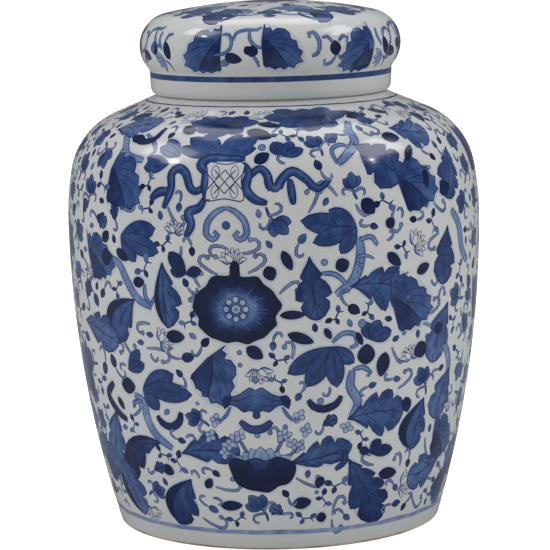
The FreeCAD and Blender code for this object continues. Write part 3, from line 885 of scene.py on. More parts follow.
def rings(sheet, lines):
    """Bands all the way round: height up the profile, width and tone."""
    half = math.pi * sheet.reference
    for height, thick, tone in lines:
        xs = np.linspace(-half, half, SIDES // 2 + 1)
        points = np.stack([xs, np.full(len(xs), float(height))], axis=1)
        sheet.stroke(points, np.full(len(xs), thick / 2), tone)


def paint_jar(sheet):
    paint_half(sheet, 0)
    paint_half(sheet, 180)
    half = math.pi * sheet.reference
    fill_gaps(sheet, (-half, JAR_FIELD[0]), (half, JAR_FIELD[1]))
    rings(sheet, BASE_LINES)
    sheet.repeat_at_seam()


# ---- what grows in the gaps ---------------------------------------------------------------------


class Cover:
    """Which parts of the sheet are painted, as a grid of small cells."""

    CELL = 0.8

    def __init__(self, low, high):
        self.low = np.array(low, float)
        self.size = np.ceil((np.array(high) - self.low) / self.CELL).astype(int)
        self.full = np.zeros(self.size[::-1], bool)

    def add(self, marks):
        for points, _ in marks:
            first = np.floor((points.min(axis=0) - self.low) / self.CELL).astype(int)
            last = np.ceil((points.max(axis=0) - self.low) / self.CELL).astype(int)
            first, last = np.clip(first, 0, self.size - 1), np.clip(last, 0, self.size - 1)
            xs = self.low[0] + (np.arange(first[0], last[0] + 1) + 0.5) * self.CELL
            ys = (self.low[1] + (np.arange(first[1], last[1] + 1) + 0.5) * self.CELL)[:, None]
            self.full[first[1] : last[1] + 1, first[0] : last[0] + 1] |= encloses(points, xs, ys)

    def is_free(self, x, y, radius):
        col, row = ((np.array([x, y]) - self.low) / self.CELL).astype(int)
        reach = int(math.ceil(radius / self.CELL))
        if row < reach or row >= self.size[1] - reach or col < reach or col >= self.size[0] - reach:
            return False
        spread = np.arange(-reach, reach + 1)
        disc = spread[:, None] ** 2 + spread**2 <= (radius / self.CELL) ** 2
        return not (self.full[row - reach : row + reach + 1, col - reach : col + reach + 1] & disc).any()


def spray(brush, pick):
    """Three petals of a small leaf on a stem, with a tendril on either side."""
    brush.line(smooth_path([(-7.5, 1.5), (-4, 0), (-1, 0)]), 1.6, BLUE, 0.7)
    curl_at(brush, (-4, 0), 60, 4, 2.2, False)
    curl_at(brush, (-3, 0), -55, 4, 2, True)
    for angle, length, width in ((42, 8, 5), (-40, 7.5, 5), (4, 9, 5.5)):
        petal(brush, angle, length, width, pick((BLUE, BLUE, DEEP)), MID, start=(-1, 0), fullness=1.1)


def leaflet(brush, pick):
    leaf(brush, 11, 4, 4.5, pick((30, -25, 10)), pick((2, 3)), 3, pick((BLUE, DEEP)), pick((MID, BLUE)), 1.4)
    curl_at(brush, (1, 0), pick((130, 160)), 4.5, 2, False)


def hooked_bud(brush, pick):
    curl_at(brush, (-1, 0), 175, 4, 2, pick((True, False)))
    bud_at(brush, (-1, 0), pick((-10, 15)), 6.5, 4.4, pick((INK, DEEP, DEEP, BLUE)))


def vine(brush, pick):
    """A waving stem with a bud on its end and a small leaf on either side."""
    brush.line(smooth_path([(-5.5, -1), (-2.5, 1), (1.5, -1), (4.5, 0.6)]), 0.9, BLUE, 0.6)
    bud_at(brush, (3, 0.2), 20, 5.6, 3.8, pick((INK, DEEP, BLUE)))
    bud_at(brush, (-2.5, 0.8), 125, 5.4, 3.6, pick((BLUE, MID)))
    bud_at(brush, (1, -1), -75, 4.8, 3.2, pick((BLUE, DEEP)))


def comma(brush, pick):
    bud_at(brush, (-1.8, 0), 0, 3.8, 2.4, pick((DEEP, BLUE, MID)))


def hook(brush, pick):
    curl_at(brush, (-2, -1), 0, 2.4, 1.5, pick((True, False)))


def curl_at(brush, start, angle, length, hook_size, flip):
    """A tendril from a place in another motif."""
    side = -1 if flip else 1
    centre = (length, side * hook_size)
    arc = arc_path(centre, hook_size, -90 * side, 100 * side, 1.5)
    path = turned([(0, 0), (length * 0.5, -side * hook_size * 0.15), *arc], angle, start)
    brush.line(path, 1.7, BLUE, 0.6)
    brush.line(path, 0.75, LIGHT, 0.6)


def bud_at(brush, start, angle, length, width, tone):
    outline = turned(petal_points(length, width, 0.9, 6), angle, start)
    tip = turned([(length, 0)], angle, start)[0]
    brush.wash(outline, tone, tone - 0.12, start, tip)


# the gaps' radius, the spacing of the places tried and what may grow there, from the largest gaps down
GROWTHS = [
    (8.4, 3.0, (spray,)), (6.8, 2.6, (leaflet, hooked_bud, spray)), (5.4, 2.2, (hooked_bud, leaflet, vine)),
    (4.5, 2.0, (vine, hooked_bud)), (3.6, 1.8, (hook, comma, comma)),
]
# how far each one reaches from its middle at size 1
GROWTH_REACH = {spray: 8.6, leaflet: 8.0, hooked_bud: 6.2, vine: 6.6, hook: 3.4, comma: 2.6}
GROWTH_SEED = 11


def fill_gaps(sheet, low, high):
    """Grows buds and tendrils in the gaps between the motifs, the largest gaps first."""
    draw = random.Random(GROWTH_SEED)
    cover = Cover(low, high)
    cover.add(sheet.marks)
    for radius, step, growths in GROWTHS:
        spots = [(x + draw.uniform(0, step), y + draw.uniform(0, step))
                 for x in np.arange(low[0], high[0], step) for y in np.arange(low[1], high[1], step)]
        draw.shuffle(spots)
        for x, y in spots:
            if cover.is_free(x, y, radius):
                growth = draw.choice(growths)
                known = len(sheet.marks)
                size = min(1.25, radius / GROWTH_REACH[growth] * 1.06)
                turn = draw.uniform(0, 360)
                flip = draw.random() < 0.5
                growth(Brush(sheet, math.degrees(x / sheet.reference), y, turn, size, flip), draw.choice)
                cover.add(sheet.marks[known:])


# ---- the lid's painting -------------------------------------------------------------------------

# the rim's height on the sheet, whose heights are counted from a little above it
LID_START = -3.65
# the height and width of the line round the rim
LID_BAND, LID_BAND_WIDTH = 10.3, 2.7

# leaves on the lid's side: where the straight edge stands, the height of its top, the leaf's size, and
# whether the belly is on the left
SIDE_LEAVES = [
    (-22, 37.5, 1.08, True), (-3, 38, 1, False), (50, 36.5, 1.1, True), (78, 37, 1, False),
    (131, 36, 0.96, True), (152, 38, 1.04, False), (205, 36, 1, True), (226, 37, 0.96, False),
    (281, 37, 1.04, True),
]


def hanging_buds(sheet, degrees):
    """What grows between two leaves: a dark bud and a curled leaf on one vine, with hooks above and below."""
    vine = Brush(sheet, degrees, 27)
    stem(vine, [(-9.5, -4), (-3, -2.5), (-0.5, 1.5), (-2, 6), (-5.5, 6)])
    stem(vine, [(0, 3), (1.5, 7), (6, 8.5), (11, 8.5), (13, 10)])
    stem(vine, [(7.5, 8), (8, 4), (10.5, 0.5), (14, -0.5)])
    stem(vine, [(9.5, -4), (11.5, -7), (12, -10)])
    petal(vine, 205, 5.5, 3.4, MID, LIGHT, start=(-2, -6.5), edge=BLUE, vein=False)
    petal(vine, -12, 8.5, 5, DEEP, INK, start=(-4, -4.5), edge=INK, fullness=0.8)
    petal(vine, 135, 5, 4, INK, DEEP, start=(9.4, -3.6), edge=INK, vein=False, fullness=1.2)
    petal(vine, 70, 5.4, 5.4, INK, DEEP, start=(8.4, -4.6), edge=INK, vein=False, fullness=1.1)


def standing_bud(sheet, degrees):
    """What grows between two other leaves: an oval bud with a hook at each side and a tendril to its foot."""
    vine = Brush(sheet, degrees, 25)
    petal(vine, 95, 7.4, 5.8, INK, DEEP, start=(0, -3.4), edge=INK, vein=False, fullness=1.05)
    stem(vine, [(1.5, 3.5), (4.5, 6), (7, 5), (6, 2.5)])
    stem(vine, [(-1.5, 2.5), (-4, 6), (-7, 5.5)])
    stem(vine, [(0, -3), (-2, -6.5), (-5.5, -7.5), (-6, -4.5)])
    stem(vine, [(1, -3), (4, -5.5), (6, -5)])
    stem(vine, [(-12.5, -3), (-9.5, -1.5), (-8.5, 3.5), (-10.5, 8.5), (-13, 8), (-13, 5.5)], 2.4)


def tall_bud(sheet, degrees):
    """A long dark bud and a spray of small pale leaves, with thin hooks."""
    vine = Brush(sheet, degrees, 25)
    petal(vine, 112, 9.5, 5, INK, DEEP, start=(2.5, -4.5), edge=INK, vein=False, fullness=0.9)
    stem(vine, [(-1, 4), (1, 7.5), (4, 8)])
    for angle in (150, 185, 215, 250):
        petal(vine, angle, 7, 2.8, LIGHT, PALE, start=(-2, -5), edge=BLUE)
    tube(vine, [(-1, -5), (1.5, -7), (2.5, -11)], 1.2, MID, BLUE)
    stem(vine, [(-3, 0), (-6, 5), (-5, 9)])
    bud(Brush(sheet, degrees - 9, 29, 250), 6, 3.4, BLUE)


def scroll_leaf(sheet, degrees, flip):
    """A wide scrolled leaf on the rise of the dome, with a beaded edge at its foot."""
    side = -1 if flip else 1
    brush = Brush(sheet, degrees, 48, 0, 1.35)
    petals = ((168, 15, 7, (2, 3), MID), (20, 13, 8, (0, 2), BLUE), (120, 9, 7, (-4, 3), MID),
              (-48, 13, 7, (2, 3), BLUE), (212, 9, 5, (-1, 2), BLUE), (62, 7, 6, (6, 3), MID))
    for angle, length, width, (u, v), tone in petals:
        lean = angle if side > 0 else 180 - angle
        petal(brush, lean, length, width, tone, BLUE, start=(side * u, v), fullness=1.1)
    tube(brush, [(side * 12, 3), (side * 14, -1), (side * 11.5, -4.5), (side * 8.5, -3)], 2.4, MID, DEEP, 1)


def dome_vine(sheet, degrees):
    """A small upright leaf between two long stems with a bud on the end of each."""
    vine = Brush(sheet, degrees, 48)
    for side, reach in ((-1, 17), (1, 19)):
        stem(vine, [(side * 1, 5), (side * 5, 3), (side * 11, 0), (side * reach, 0.5)])
        curl(Brush(sheet, degrees + side * 5, 52, 90 - side * 60, 1, side < 0), 7, 2.4, 1.5)
        tone = INK if side > 0 else DEEP
        petal(vine, 90 - side * 95, 7.5, 4.6, tone, DEEP, start=(side * reach, 0), edge=INK, vein=False)
    for angle, length, width in ((130, 8, 5), (50, 8, 5), (-90, 5, 6), (90, 11, 6)):
        petal(vine, angle, length, width, BLUE, MID, start=(0, 2), fullness=1.1)


def paint_lid(sheet):
    crown(sheet)
    for degrees, top, size, on_left in SIDE_LEAVES:
        side_leaf(Brush(sheet, degrees, top, 270, size, on_left))
    for degrees in (-16, 66, 141, 215, 292):
        hanging_buds(sheet, degrees)
    for degrees in (29, 107, 181, 258):
        standing_bud(sheet, degrees)
    for degrees in (-51, 59):
        tall_bud(sheet, degrees)
    for degrees, flip in ((-40, False), (38, True), (115, False), (190, True), (262, False)):
        scroll_leaf(sheet, degrees, flip)
    for degrees in (0, 77, 152, 226, 300):
        dome_vine(sheet, degrees)
    circle = np.radians(np.linspace(0, 360, 121))
    rim = sheet.section.end - LID_BAND
    points = np.stack([rim * np.sin(circle), -rim * np.cos(circle)], axis=1)
    sheet.stroke(points, np.full(len(points), LID_BAND_WIDTH / 2), BLUE)


def crown(sheet):
    """The flower in the middle of the lid, ringed by leaves."""
    top = sheet.section.end
    for k in range(10):
        leaf(Brush(sheet, 36 * k, top - 36, 20 * (-1) ** k), 20, 7, 9, 30, 3, 4, MID, LIGHT)
        curl(Brush(sheet, 36 * k + 18, top - 33, 60), 7, 2.6, 1.7)
    for k in range(8):
        leaf(Brush(sheet, 45 * k, top - 16, 80), 19, 8, 8, 30, 3, 3, MID, BLUE)
        curl(Brush(sheet, 45 * k + 22, top - 20, 20), 8, 3, 1.8)
        bud(Brush(sheet, 45 * k + 20, top - 24, 250), 6, 4, INK)
    middle = Brush(sheet, 0, top - 0.01)
    for k in range(9):
        petal(middle, 40 * k, 13, 8, INK, DEEP, edge=INK, vein=False, fullness=1.3)
    for k in range(20):
        middle.line([3 * direction(18 * k), 7 * direction(18 * k)], 0.5, LIGHT, 0.4)
    ball(middle, 2.4, PALE, DEEP)
    ball(middle, 1.1, LIGHT, DEEP)


# ---------------------------------------------------------------------------------------------------
# Meshes: marks cut into a sheet, the sheet wrapped on its section, and plain rings for the rest
# ---------------------------------------------------------------------------------------------------

SIDES = 180
# a new row of faces starts after this many mm, or degrees of bend
ROW, BEND = 4.5, 5.0
PLAIN_ROW, PLAIN_BEND = ROW * 1.6, BEND * 1.4
# the lid's rows, and how far apart the points in them are, in mm
LID_ROW, LID_SPACING = ROW * 0.7, 3

# the side of one tile of the first cut, in mm
TILE = 26.0
# points nearer than this are one point, in mm, in the first and in the second cut
TILE_MERGE, MERGE = 1e-4, 5e-4
# an edge of the sheet and a straight line are met within these, in mm
SEAM_NEAR, STRAIGHT_NEAR = 2e-3, 0.012
# the values of a place that no mark covers
BARE_KEY = (BARE, BARE, 0, 0, 1, 0)


def cut_sheet(border, grid, marks, tiles, seam=None):
    """The sheet's points and triangles, with every visible edge of the painting, and each corner's tone.

    Marks overlap, so the sheet is cut twice. First, tile by tile, along every mark, which tells which
    paint is on top where. Then once along only the edges where that changes.
    """
    kinds = {BARE_KEY: 0}
    plain = [values if values[0] != values[1] else (values[0],) * 2 + BARE_KEY[2:] for _, values in marks]
    keys = [kinds.setdefault(values, len(kinds)) for values in plain]
    boxes = np.array([[*points.min(axis=0), *points.max(axis=0)] for points, _ in marks])
    points, edges, sides = [*border, *grid], [], []
    size = len(border)
    edges.extend((i, (i + 1) % size) for i in range(size))
    sides.extend([None] * size)
    for box in tiles:
        near = np.nonzero((boxes[:, 0] < box[2]) & (boxes[:, 2] > box[0])
                          & (boxes[:, 1] < box[3]) & (boxes[:, 3] > box[1]))[0]
        if len(near):
            paint_edges([marks[i][0] for i in near], [keys[i] for i in near], box, points, edges, sides)
    if seam is not None:
        # the two edges that meet at the back get each other's points
        points.extend([(-math.copysign(seam, x), y) for x, y in points if abs(x) > seam - SEAM_NEAR])
    vectors = [Vector((float(x), float(y))) for x, y in points]
    spots, links, faces, _, sources, _ = delaunay_2d_cdt(vectors, edges, [], 0, MERGE, True)
    flat = np.array([tuple(v) for v in spots])
    triangles = np.array(faces)
    beside, walls = known_paint(flat, zip(links, sources), vectors, edges, sides)
    filled = fill_regions(faces, beside, walls)
    table = np.array(list(kinds))[filled][:, None, :]
    corners = flat[triangles]
    near, reach = table[..., 2:4], table[..., 4:6] - table[..., 2:4]
    share = np.clip(((corners - near) * reach).sum(-1) / (reach**2).sum(-1), 0, 1)
    return flat, triangles, table[..., 0] + (table[..., 1] - table[..., 0]) * share


def paint_edges(outlines, keys, box, points, edges, sides):
    """Adds a tile's edges between different paint, with the paint on their left and right."""
    left, bottom, right, top = box
    border = np.array([(left, bottom), (right, bottom), (right, top), (left, top)])
    starts = np.cumsum([4, *[len(outline) for outline in outlines]])
    loops = [[0, 1, 2, 3], *[list(range(start, end)) for start, end in zip(starts, starts[1:])]]
    vectors = [Vector((float(x), float(y))) for x, y in np.concatenate([border, *outlines])]
    spots, _, faces, _, _, owners = delaunay_2d_cdt(vectors, [], loops, 0, TILE_MERGE, True)
    corners = np.array([tuple(v) for v in spots])[np.array(faces)]
    paint = np.zeros(len(faces), int)
    on_tile = np.array([0 in of for of in owners])
    members = {}
    for number, of in enumerate(owners):
        for mark in of:
            members.setdefault(mark, []).append(number)
    for mark in sorted(members):
        if mark:
            # an outline that crosses itself claims too much, so each triangle's middle has to be inside it
            found = np.array(members[mark])
            middles = corners[found].mean(axis=1)
            paint[found[encloses(outlines[mark - 1], middles[:, 0], middles[:, 1])]] = keys[mark - 1]
    beside = {}
    for face, key, kept in zip(faces, paint.tolist(), on_tile):
        if kept:
            for a, b in zip(face, [*face[1:], face[0]]):
                beside[a, b] = key
    links = {}
    for (a, b), key in beside.items():
        if beside.get((b, a), key) != key:
            links.setdefault(a, {})[b] = key
    for middle in list(links):
        if len(links[middle]) == 2:
            join_if_straight(spots, links, middle)
    numbers = {}
    for a in links:
        for b, key in links[a].items():
            if a < b:
                for vertex in (a, b):
                    if vertex not in numbers:
                        numbers[vertex] = len(points)
                        points.append(tuple(spots[vertex]))
                edges.append((numbers[a], numbers[b]))
                sides.append((key, links[b][a]))


def join_if_straight(spots, links, middle):
    """Takes a point out of an edge that runs straight through it."""
    before, after = links[middle]
    one, two = spots[middle] - spots[before], spots[after] - spots[middle]
    if abs(one.cross(two)) > STRAIGHT_NEAR * max(one.length, two.length):
        return
    if one.dot(two) <= 0 or after in links[before]:
        return
    if links[before][middle] != links[middle][after] or links[after][middle] != links[middle][before]:
        return
    links[before][after] = links[before].pop(middle)
    links[after][before] = links[after].pop(middle)
    links[middle] = {}


def known_paint(flat, cut_edges, vectors, edges, sides):
    """The paint beside each edge of the painting, and the edges that paint doesn't spread over."""
    beside, walls = {}, set()
    for (a, b), of in cut_edges:
        for source in of:
            walls.update(((a, b), (b, a)))
            if sides[source] is not None:
                start, end = (vectors[number] for number in edges[source])
                along = (flat[b] - flat[a]) @ (end - start)
                on_left, on_right = sides[source] if along > 0 else sides[source][::-1]
                beside[a, b], beside[b, a] = on_left, on_right
    return beside, walls


def fill_regions(faces, beside, walls):
    """Which paint each triangle has: known beside the painting's edges, and spread from there."""
    owner, filled, front = {}, [-1] * len(faces), []
    for number, face in enumerate(faces):
        for pair in zip(face, [*face[1:], face[0]]):
            owner[pair] = number
            if pair in beside:
                filled[number] = beside[pair]
        if filled[number] >= 0:
            front.append(number)
    while front:
        reached = []
        for number in front:
            face = faces[number]
            for a, b in zip(face, [*face[1:], face[0]]):
                neighbour = owner.get((b, a))
                if neighbour is not None and filled[neighbour] < 0 and (a, b) not in walls:
                    filled[neighbour] = filled[number]
                    reached.append(neighbour)
        front = reached
    return np.maximum(filled, 0)


def tiles_over(left, bottom, right, top):
    xs = np.linspace(left, right, max(1, round((right - left) / TILE)) + 1)
    ys = np.linspace(bottom, top, max(1, round((top - bottom) / TILE)) + 1)
    return [(a, b, c, d) for a, c in zip(xs, xs[1:]) for b, d in zip(ys, ys[1:])]


def around(angles, radius_height, normal):
    """Points and normals at angles from the front, which faces -Y, and positive towards +X."""
    out = np.stack([np.sin(angles), -np.cos(angles)], axis=1)
    points = np.column_stack([out * radius_height[:, :1], radius_height[:, 1]]) * MM
    return points, np.column_stack([out * normal[:, :1], normal[:, 1]])


class Shell:
    """One piece's mesh as it grows: points with exact normals, and faces with paint and map values."""

    def __init__(self):
        self.points, self.normals, self.faces = [], [], []
        self.paint, self.maps, self.finishes = [], [], []
        self.count = 0

    def add(self, points, normals):
        first = self.count
        self.points.append(points)
        self.normals.append(normals)
        self.count += len(points)
        return first

    def fill(self, faces, paint, maps, finish):
        """Faces of three or four corners. paint and maps have one row for each corner of each face."""
        self.faces.extend(faces)
        self.paint.append(paint)
        self.maps.append(maps)
        self.finishes.extend([finish] * len(faces))

    def rings(self, section, first_ring, last_ring, place, finish_at):
        """Plain rows of faces along a run, from one ring of vertex numbers to another or to the axis."""
        rows = section.rows(PLAIN_ROW, PLAIN_BEND)
        angles = np.arange(SIDES) * TURN / SIDES - math.pi
        ring = first_ring
        length = section.end - section.start
        for before, after in zip(rows, rows[1:]):
            if after == rows[-1] and last_ring is not None:
                fresh = last_ring
            elif section.at(after)[0] < 1e-6:
                fresh = self.pole(section, after)
            else:
                spots = np.tile(section.at(after), (SIDES, 1))
                normals = np.tile(section.normal_at(after), (SIDES, 1))
                fresh = self.add(*around(angles, spots, normals)) + np.arange(SIDES)
            self.band(ring, fresh, place, (before - section.start) / length, (after - section.start) / length,
                      finish_at(section.at((before + after) / 2)))
            ring = fresh

    def pole(self, section, distance):
        """A point on the axis, as a ring that has the same vertex number all round."""
        height, up = section.at(distance)[1], section.normal_at(distance)[1]
        return self.add(np.array([[0, 0, height * MM]]), np.array([[0, 0, up]])) + np.zeros(SIDES, int)

    def band(self, low, high, place, near, far, finish):
        """One row of faces between two rings. Its place on the map runs from a near to a far share."""
        left, bottom, wide, tall = place
        for i in range(SIDES):
            j = (i + 1) % SIDES
            corners = [(low[i], i, near), (low[j], i + 1, near), (high[j], i + 1, far), (high[i], i, far)]
            if low[i] == low[j]:
                corners.pop(1)
            if high[i] == high[j]:
                corners.pop(2)
            maps = [(left + wide * k / SIDES, bottom + tall * share) for _, k, share in corners]
            face = tuple(int(number) for number, _, _ in corners)
            self.fill([face], np.zeros(len(corners)), np.array(maps), finish)

    def finish(self, name, materials):
        mesh = bpy.data.meshes.new(name)
        mesh.from_pydata(np.concatenate(self.points).tolist(), [], self.faces)
        paint, maps = np.concatenate(self.paint), np.concatenate(self.maps)
        layer = mesh.attributes.new("tone", "FLOAT", "CORNER")
        layer.data.foreach_set("value", paint.astype(np.float32))
        layer = mesh.uv_layers.new(name="OFBake")
        layer.data.foreach_set("uv", np.ascontiguousarray(maps, np.float32).ravel())
        for material in materials:
            mesh.materials.append(material)
        mesh.polygons.foreach_set("material_index", np.array(self.finishes, np.int32))
        mesh.polygons.foreach_set("use_smooth", np.ones(len(self.faces), bool))
        mesh.normals_split_custom_set_from_vertices(np.concatenate(self.normals).tolist())
        mesh.update()
        piece = bpy.data.objects.new(name, mesh)
        bpy.context.scene.collection.objects.link(piece)
        return piece


def renumbered(count, used):
    """For each point of a sheet, its number among the used ones, or -1."""
    ids = np.full(count, -1)
    ids[used] = np.arange(len(used))
    return ids


def weld_seam(flat, half):
    """For each point of a flat sheet, the one that stands for it once the two side edges meet."""
    stands = np.arange(len(flat))
    left = np.nonzero(flat[:, 0] < -half + SEAM_NEAR)[0]
    right = np.nonzero(flat[:, 0] > half - SEAM_NEAR)[0]
    left = left[np.argsort(flat[left, 1])]
    right = right[np.argsort(flat[right, 1])]
    if len(left) != len(right) or np.abs(flat[left, 1] - flat[right, 1]).max() > SEAM_NEAR:
        raise ValueError(f"the two edges of the sheet do not meet: {len(left)} and {len(right)} points")
    stands[right] = left
    return stands


# parts of the map: left, bottom, width and height
JAR_INSIDE_MAP = (0.7, 0.01, 0.29, 0.72)
JAR_UNDER_MAP = (0.7, 0.76, 0.29, 0.23)
LID_INSIDE_MAP = (0.85, 0.01, 0.14, 0.98)
# the painted skin's share of the map, its margin, and the gap between the jar's two halves in mm
MAP_SHARE, MAP_MARGIN, MAP_GAP = 0.98, 0.01, 6
LID_MAP_CENTRE, LID_MAP_RADIUS = 0.42, 0.41


def jar_shell(materials):
    under, outside, rest = jar_sections()
    under, outside, rest = Section(under), Section(outside, outside[0][1]), Section(rest)
    half = BELLY * math.pi
    sheet = Sheet(BELLY, outside)
    paint_jar(sheet)
    columns = np.linspace(-half, half, SIDES + 1)
    rows = outside.rows(ROW, BEND)
    border = [*[(x, outside.start) for x in columns], *[(half, y) for y in rows[1:-1]],
              *[(x, outside.end) for x in columns[::-1]], *[(-half, y) for y in rows[-2:0:-1]]]
    shift = columns[1] - columns[0]
    grid = [(x + (shift / 2 if k % 2 else 0), y) for k, y in enumerate(rows[1:-1]) for x in columns[1:-1]]
    flat, triangles, paint = cut_sheet(border, grid, sheet.bleeds + sheet.marks,
                                       tiles_over(-half, outside.start, half, outside.end), half)

    shell = Shell()
    stands = weld_seam(flat, half)
    used = np.unique(stands[triangles])
    ids = renumbered(len(flat), used)[stands]
    spots = flat[used]
    shell.add(*around(spots[:, 0] / BELLY, outside.at(spots[:, 1]), outside.normal_at(spots[:, 1])))
    # on the map the painted skin lies in two halves, one above the other
    scale = MAP_SHARE / (2 * outside.end + MAP_GAP)
    on_right = flat[triangles].mean(axis=1)[:, 0] > 0
    maps = np.zeros((len(triangles), 3, 2))
    corners = flat[triangles]
    maps[..., 0] = MAP_MARGIN + scale * (corners[..., 0] + half * (1 - on_right[:, None]))
    maps[..., 1] = MAP_MARGIN + scale * (corners[..., 1] + (outside.end + MAP_GAP) * on_right[:, None])
    shell.fill([tuple(face) for face in ids[triangles].tolist()], paint.ravel(), maps.reshape(-1, 2), 0)

    bottom = ring_of(flat, ids, outside.start, half)
    top = ring_of(flat, ids, outside.end, half)
    shell.rings(rest, top, None, JAR_INSIDE_MAP, lambda at: 0)
    shell.rings(under, shell.pole(under, 0.0), bottom, JAR_UNDER_MAP, under_foot)
    return shell.finish("porcelain_jar", materials)


def under_foot(at):
    """The foot ring is the one place with no glaze: it stood on the kiln shelf."""
    return 1 if at[0] > FOOT_INNER - 0.9 and at[1] < 1.4 else 0


def ring_of(flat, ids, level, half):
    """The vertex numbers along one edge of the sheet, in order round the pot."""
    found = np.nonzero((np.abs(flat[:, 1] - level) < 1e-3) & (flat[:, 0] < half - 1e-3))[0]
    found = found[np.argsort(flat[found, 0])]
    if len(found) != SIDES:
        raise ValueError("a mark crosses the edge of the sheet")
    return ids[found]


def lid_shell(materials):
    outside, inside = lid_sections()
    outside, inside = Section(outside, LID_START), Section(inside)
    sheet = Cap(outside)
    paint_lid(sheet)
    reach = outside.end - outside.start
    rows = outside.rows(LID_ROW, BEND)
    angles = np.arange(SIDES) * TURN / SIDES - math.pi
    out = np.stack([np.sin(angles), -np.cos(angles)], axis=1)
    grid = [(0.0, 0.0)]
    for k, height in enumerate(rows[1:-1]):
        rim = outside.end - height
        if rim > 1:
            count = max(8, int(min(SIDES, TURN * rim / LID_SPACING)))
            spread = (np.arange(count) + 0.5 * (k % 2)) * TURN / count
            grid.extend(zip(rim * np.sin(spread), -rim * np.cos(spread)))
    flat, triangles, paint = cut_sheet(list(out * reach), grid, sheet.bleeds + sheet.marks,
                                       tiles_over(-reach, -reach, reach, reach))

    shell = Shell()
    used = np.unique(triangles)
    ids = renumbered(len(flat), used)
    spots = flat[used]
    heights = np.clip(outside.end - np.linalg.norm(spots, axis=1), outside.start, outside.end)
    shell.add(*around(np.arctan2(spots[:, 0], -spots[:, 1]), outside.at(heights), outside.normal_at(heights)))
    maps = LID_MAP_CENTRE + flat * LID_MAP_RADIUS / reach
    faces = [tuple(face) for face in ids[triangles].tolist()]
    shell.fill(faces, paint.ravel(), maps[triangles].reshape(-1, 2), 0)
    edge = np.nonzero(np.abs(np.linalg.norm(flat, axis=1) - reach) < 1e-3)[0]
    place = (np.arctan2(flat[edge, 0], -flat[edge, 1]) + math.pi) * SIDES / TURN
    edge = edge[np.argsort(np.round(place) % SIDES)]
    shell.rings(inside, shell.pole(inside, 0.0), ids[edge], LID_INSIDE_MAP, under_lid)
    return shell.finish("porcelain_lid", materials)


def under_lid(at):
    """The lid's rim was wiped clean of glaze where it sat in the kiln."""
    return 1 if at[1] < SEAT_HEIGHT + 0.3 else 0


# ---------------------------------------------------------------------------------------------------
# Materials
# ---------------------------------------------------------------------------------------------------


class Nodes:
    """Builds a material's nodes in order, with short names for what is used often."""

    def __init__(self, name):
        self.material = bpy.data.materials.new(name)
        self.material.use_nodes = True
        self.tree = self.material.node_tree
        self.shader = next(node for node in self.tree.nodes if node.type == "BSDF_PRINCIPLED")

    def add(self, kind, **settings):
        node = self.tree.nodes.new(kind)
        for key, value in settings.items():
            setattr(node, key, value)
        return node

    def link(self, source, target):
        self.tree.links.new(source, target)

    def fill(self, socket, value):
        if isinstance(value, bpy.types.NodeSocket):
            self.link(value, socket)
        else:
            socket.default_value = value

    def attribute(self, name):
        return self.add("ShaderNodeAttribute", attribute_name=name).outputs["Fac"]

    def math(self, operation, *values):
        node = self.add("ShaderNodeMath", operation=operation)
        for socket, value in zip(node.inputs, values):
            self.fill(socket, value)
        return node.outputs[0]

    def between(self, value, low, high):
        node = self.add("ShaderNodeMapRange", interpolation_type="SMOOTHSTEP")
        self.fill(node.inputs["Value"], value)
        node.inputs["From Min"].default_value = low
        node.inputs["From Max"].default_value = high
        return node.outputs["Result"]

    def noise(self, place, scale, detail, roughness=0.5, stretch=(1, 1, 1)):
        spread = self.add("ShaderNodeMapping")
        self.link(place, spread.inputs["Vector"])
        spread.inputs["Scale"].default_value = stretch
        node = self.add("ShaderNodeTexNoise")
        self.link(spread.outputs["Vector"], node.inputs["Vector"])
        node.inputs["Scale"].default_value = scale
        node.inputs["Detail"].default_value = detail
        node.inputs["Roughness"].default_value = roughness
        return node.outputs["Fac"]

    def blend(self, share, first, second):
        node = self.add("ShaderNodeMix", data_type="FLOAT")
        self.fill(node.inputs[0], share)
        self.fill(node.inputs[2], first)
        self.fill(node.inputs[3], second)
        return node.outputs[0]

    def mix_colour(self, share, first, second, blend_type="MIX"):
        node = self.add("ShaderNodeMix", data_type="RGBA", blend_type=blend_type)
        self.fill(node.inputs[0], share)
        self.fill(node.inputs[6], first)
        self.fill(node.inputs[7], second)
        return node.outputs[2]

    def ramp(self, value, stops):
        node = self.add("ShaderNodeValToRGB")
        while len(node.color_ramp.elements) < len(stops):
            node.color_ramp.elements.new(0.5)
        for element, (position, colour) in zip(node.color_ramp.elements, stops):
            element.position = position
            element.color = linear(colour)
        self.link(value, node.inputs["Fac"])
        return node.outputs["Color"]

    def bump(self, height, distance, under=None):
        node = self.add("ShaderNodeBump")
        node.inputs["Strength"].default_value = 1.0
        node.inputs["Distance"].default_value = distance
        self.link(height, node.inputs["Height"])
        if under is not None:
            self.link(under, node.inputs["Normal"])
        return node.outputs["Normal"]


def linear(colour):
    """A colour as it is seen on a screen, 0 to 255, as linear light."""
    return (*[((c / 255 + 0.055) / 1.055) ** 2.4 for c in colour], 1.0)


# the colour of each tone
COBALT = [
    (0.0, (217, 219, 217)), (0.1, (196, 204, 214)), (0.22, (153, 170, 200)), (0.34, (112, 136, 180)),
    (0.5, (66, 96, 150)), (0.62, (39, 67, 122)), (0.8, (18, 38, 86)), (1.0, (10, 24, 58)),
]


# how much a wash varies: in its pools, in its streaks, and over all
POOLING, STREAKING, UNEVEN = 0.55, 0.22, 0.6
GLASS_IOR = 1.5


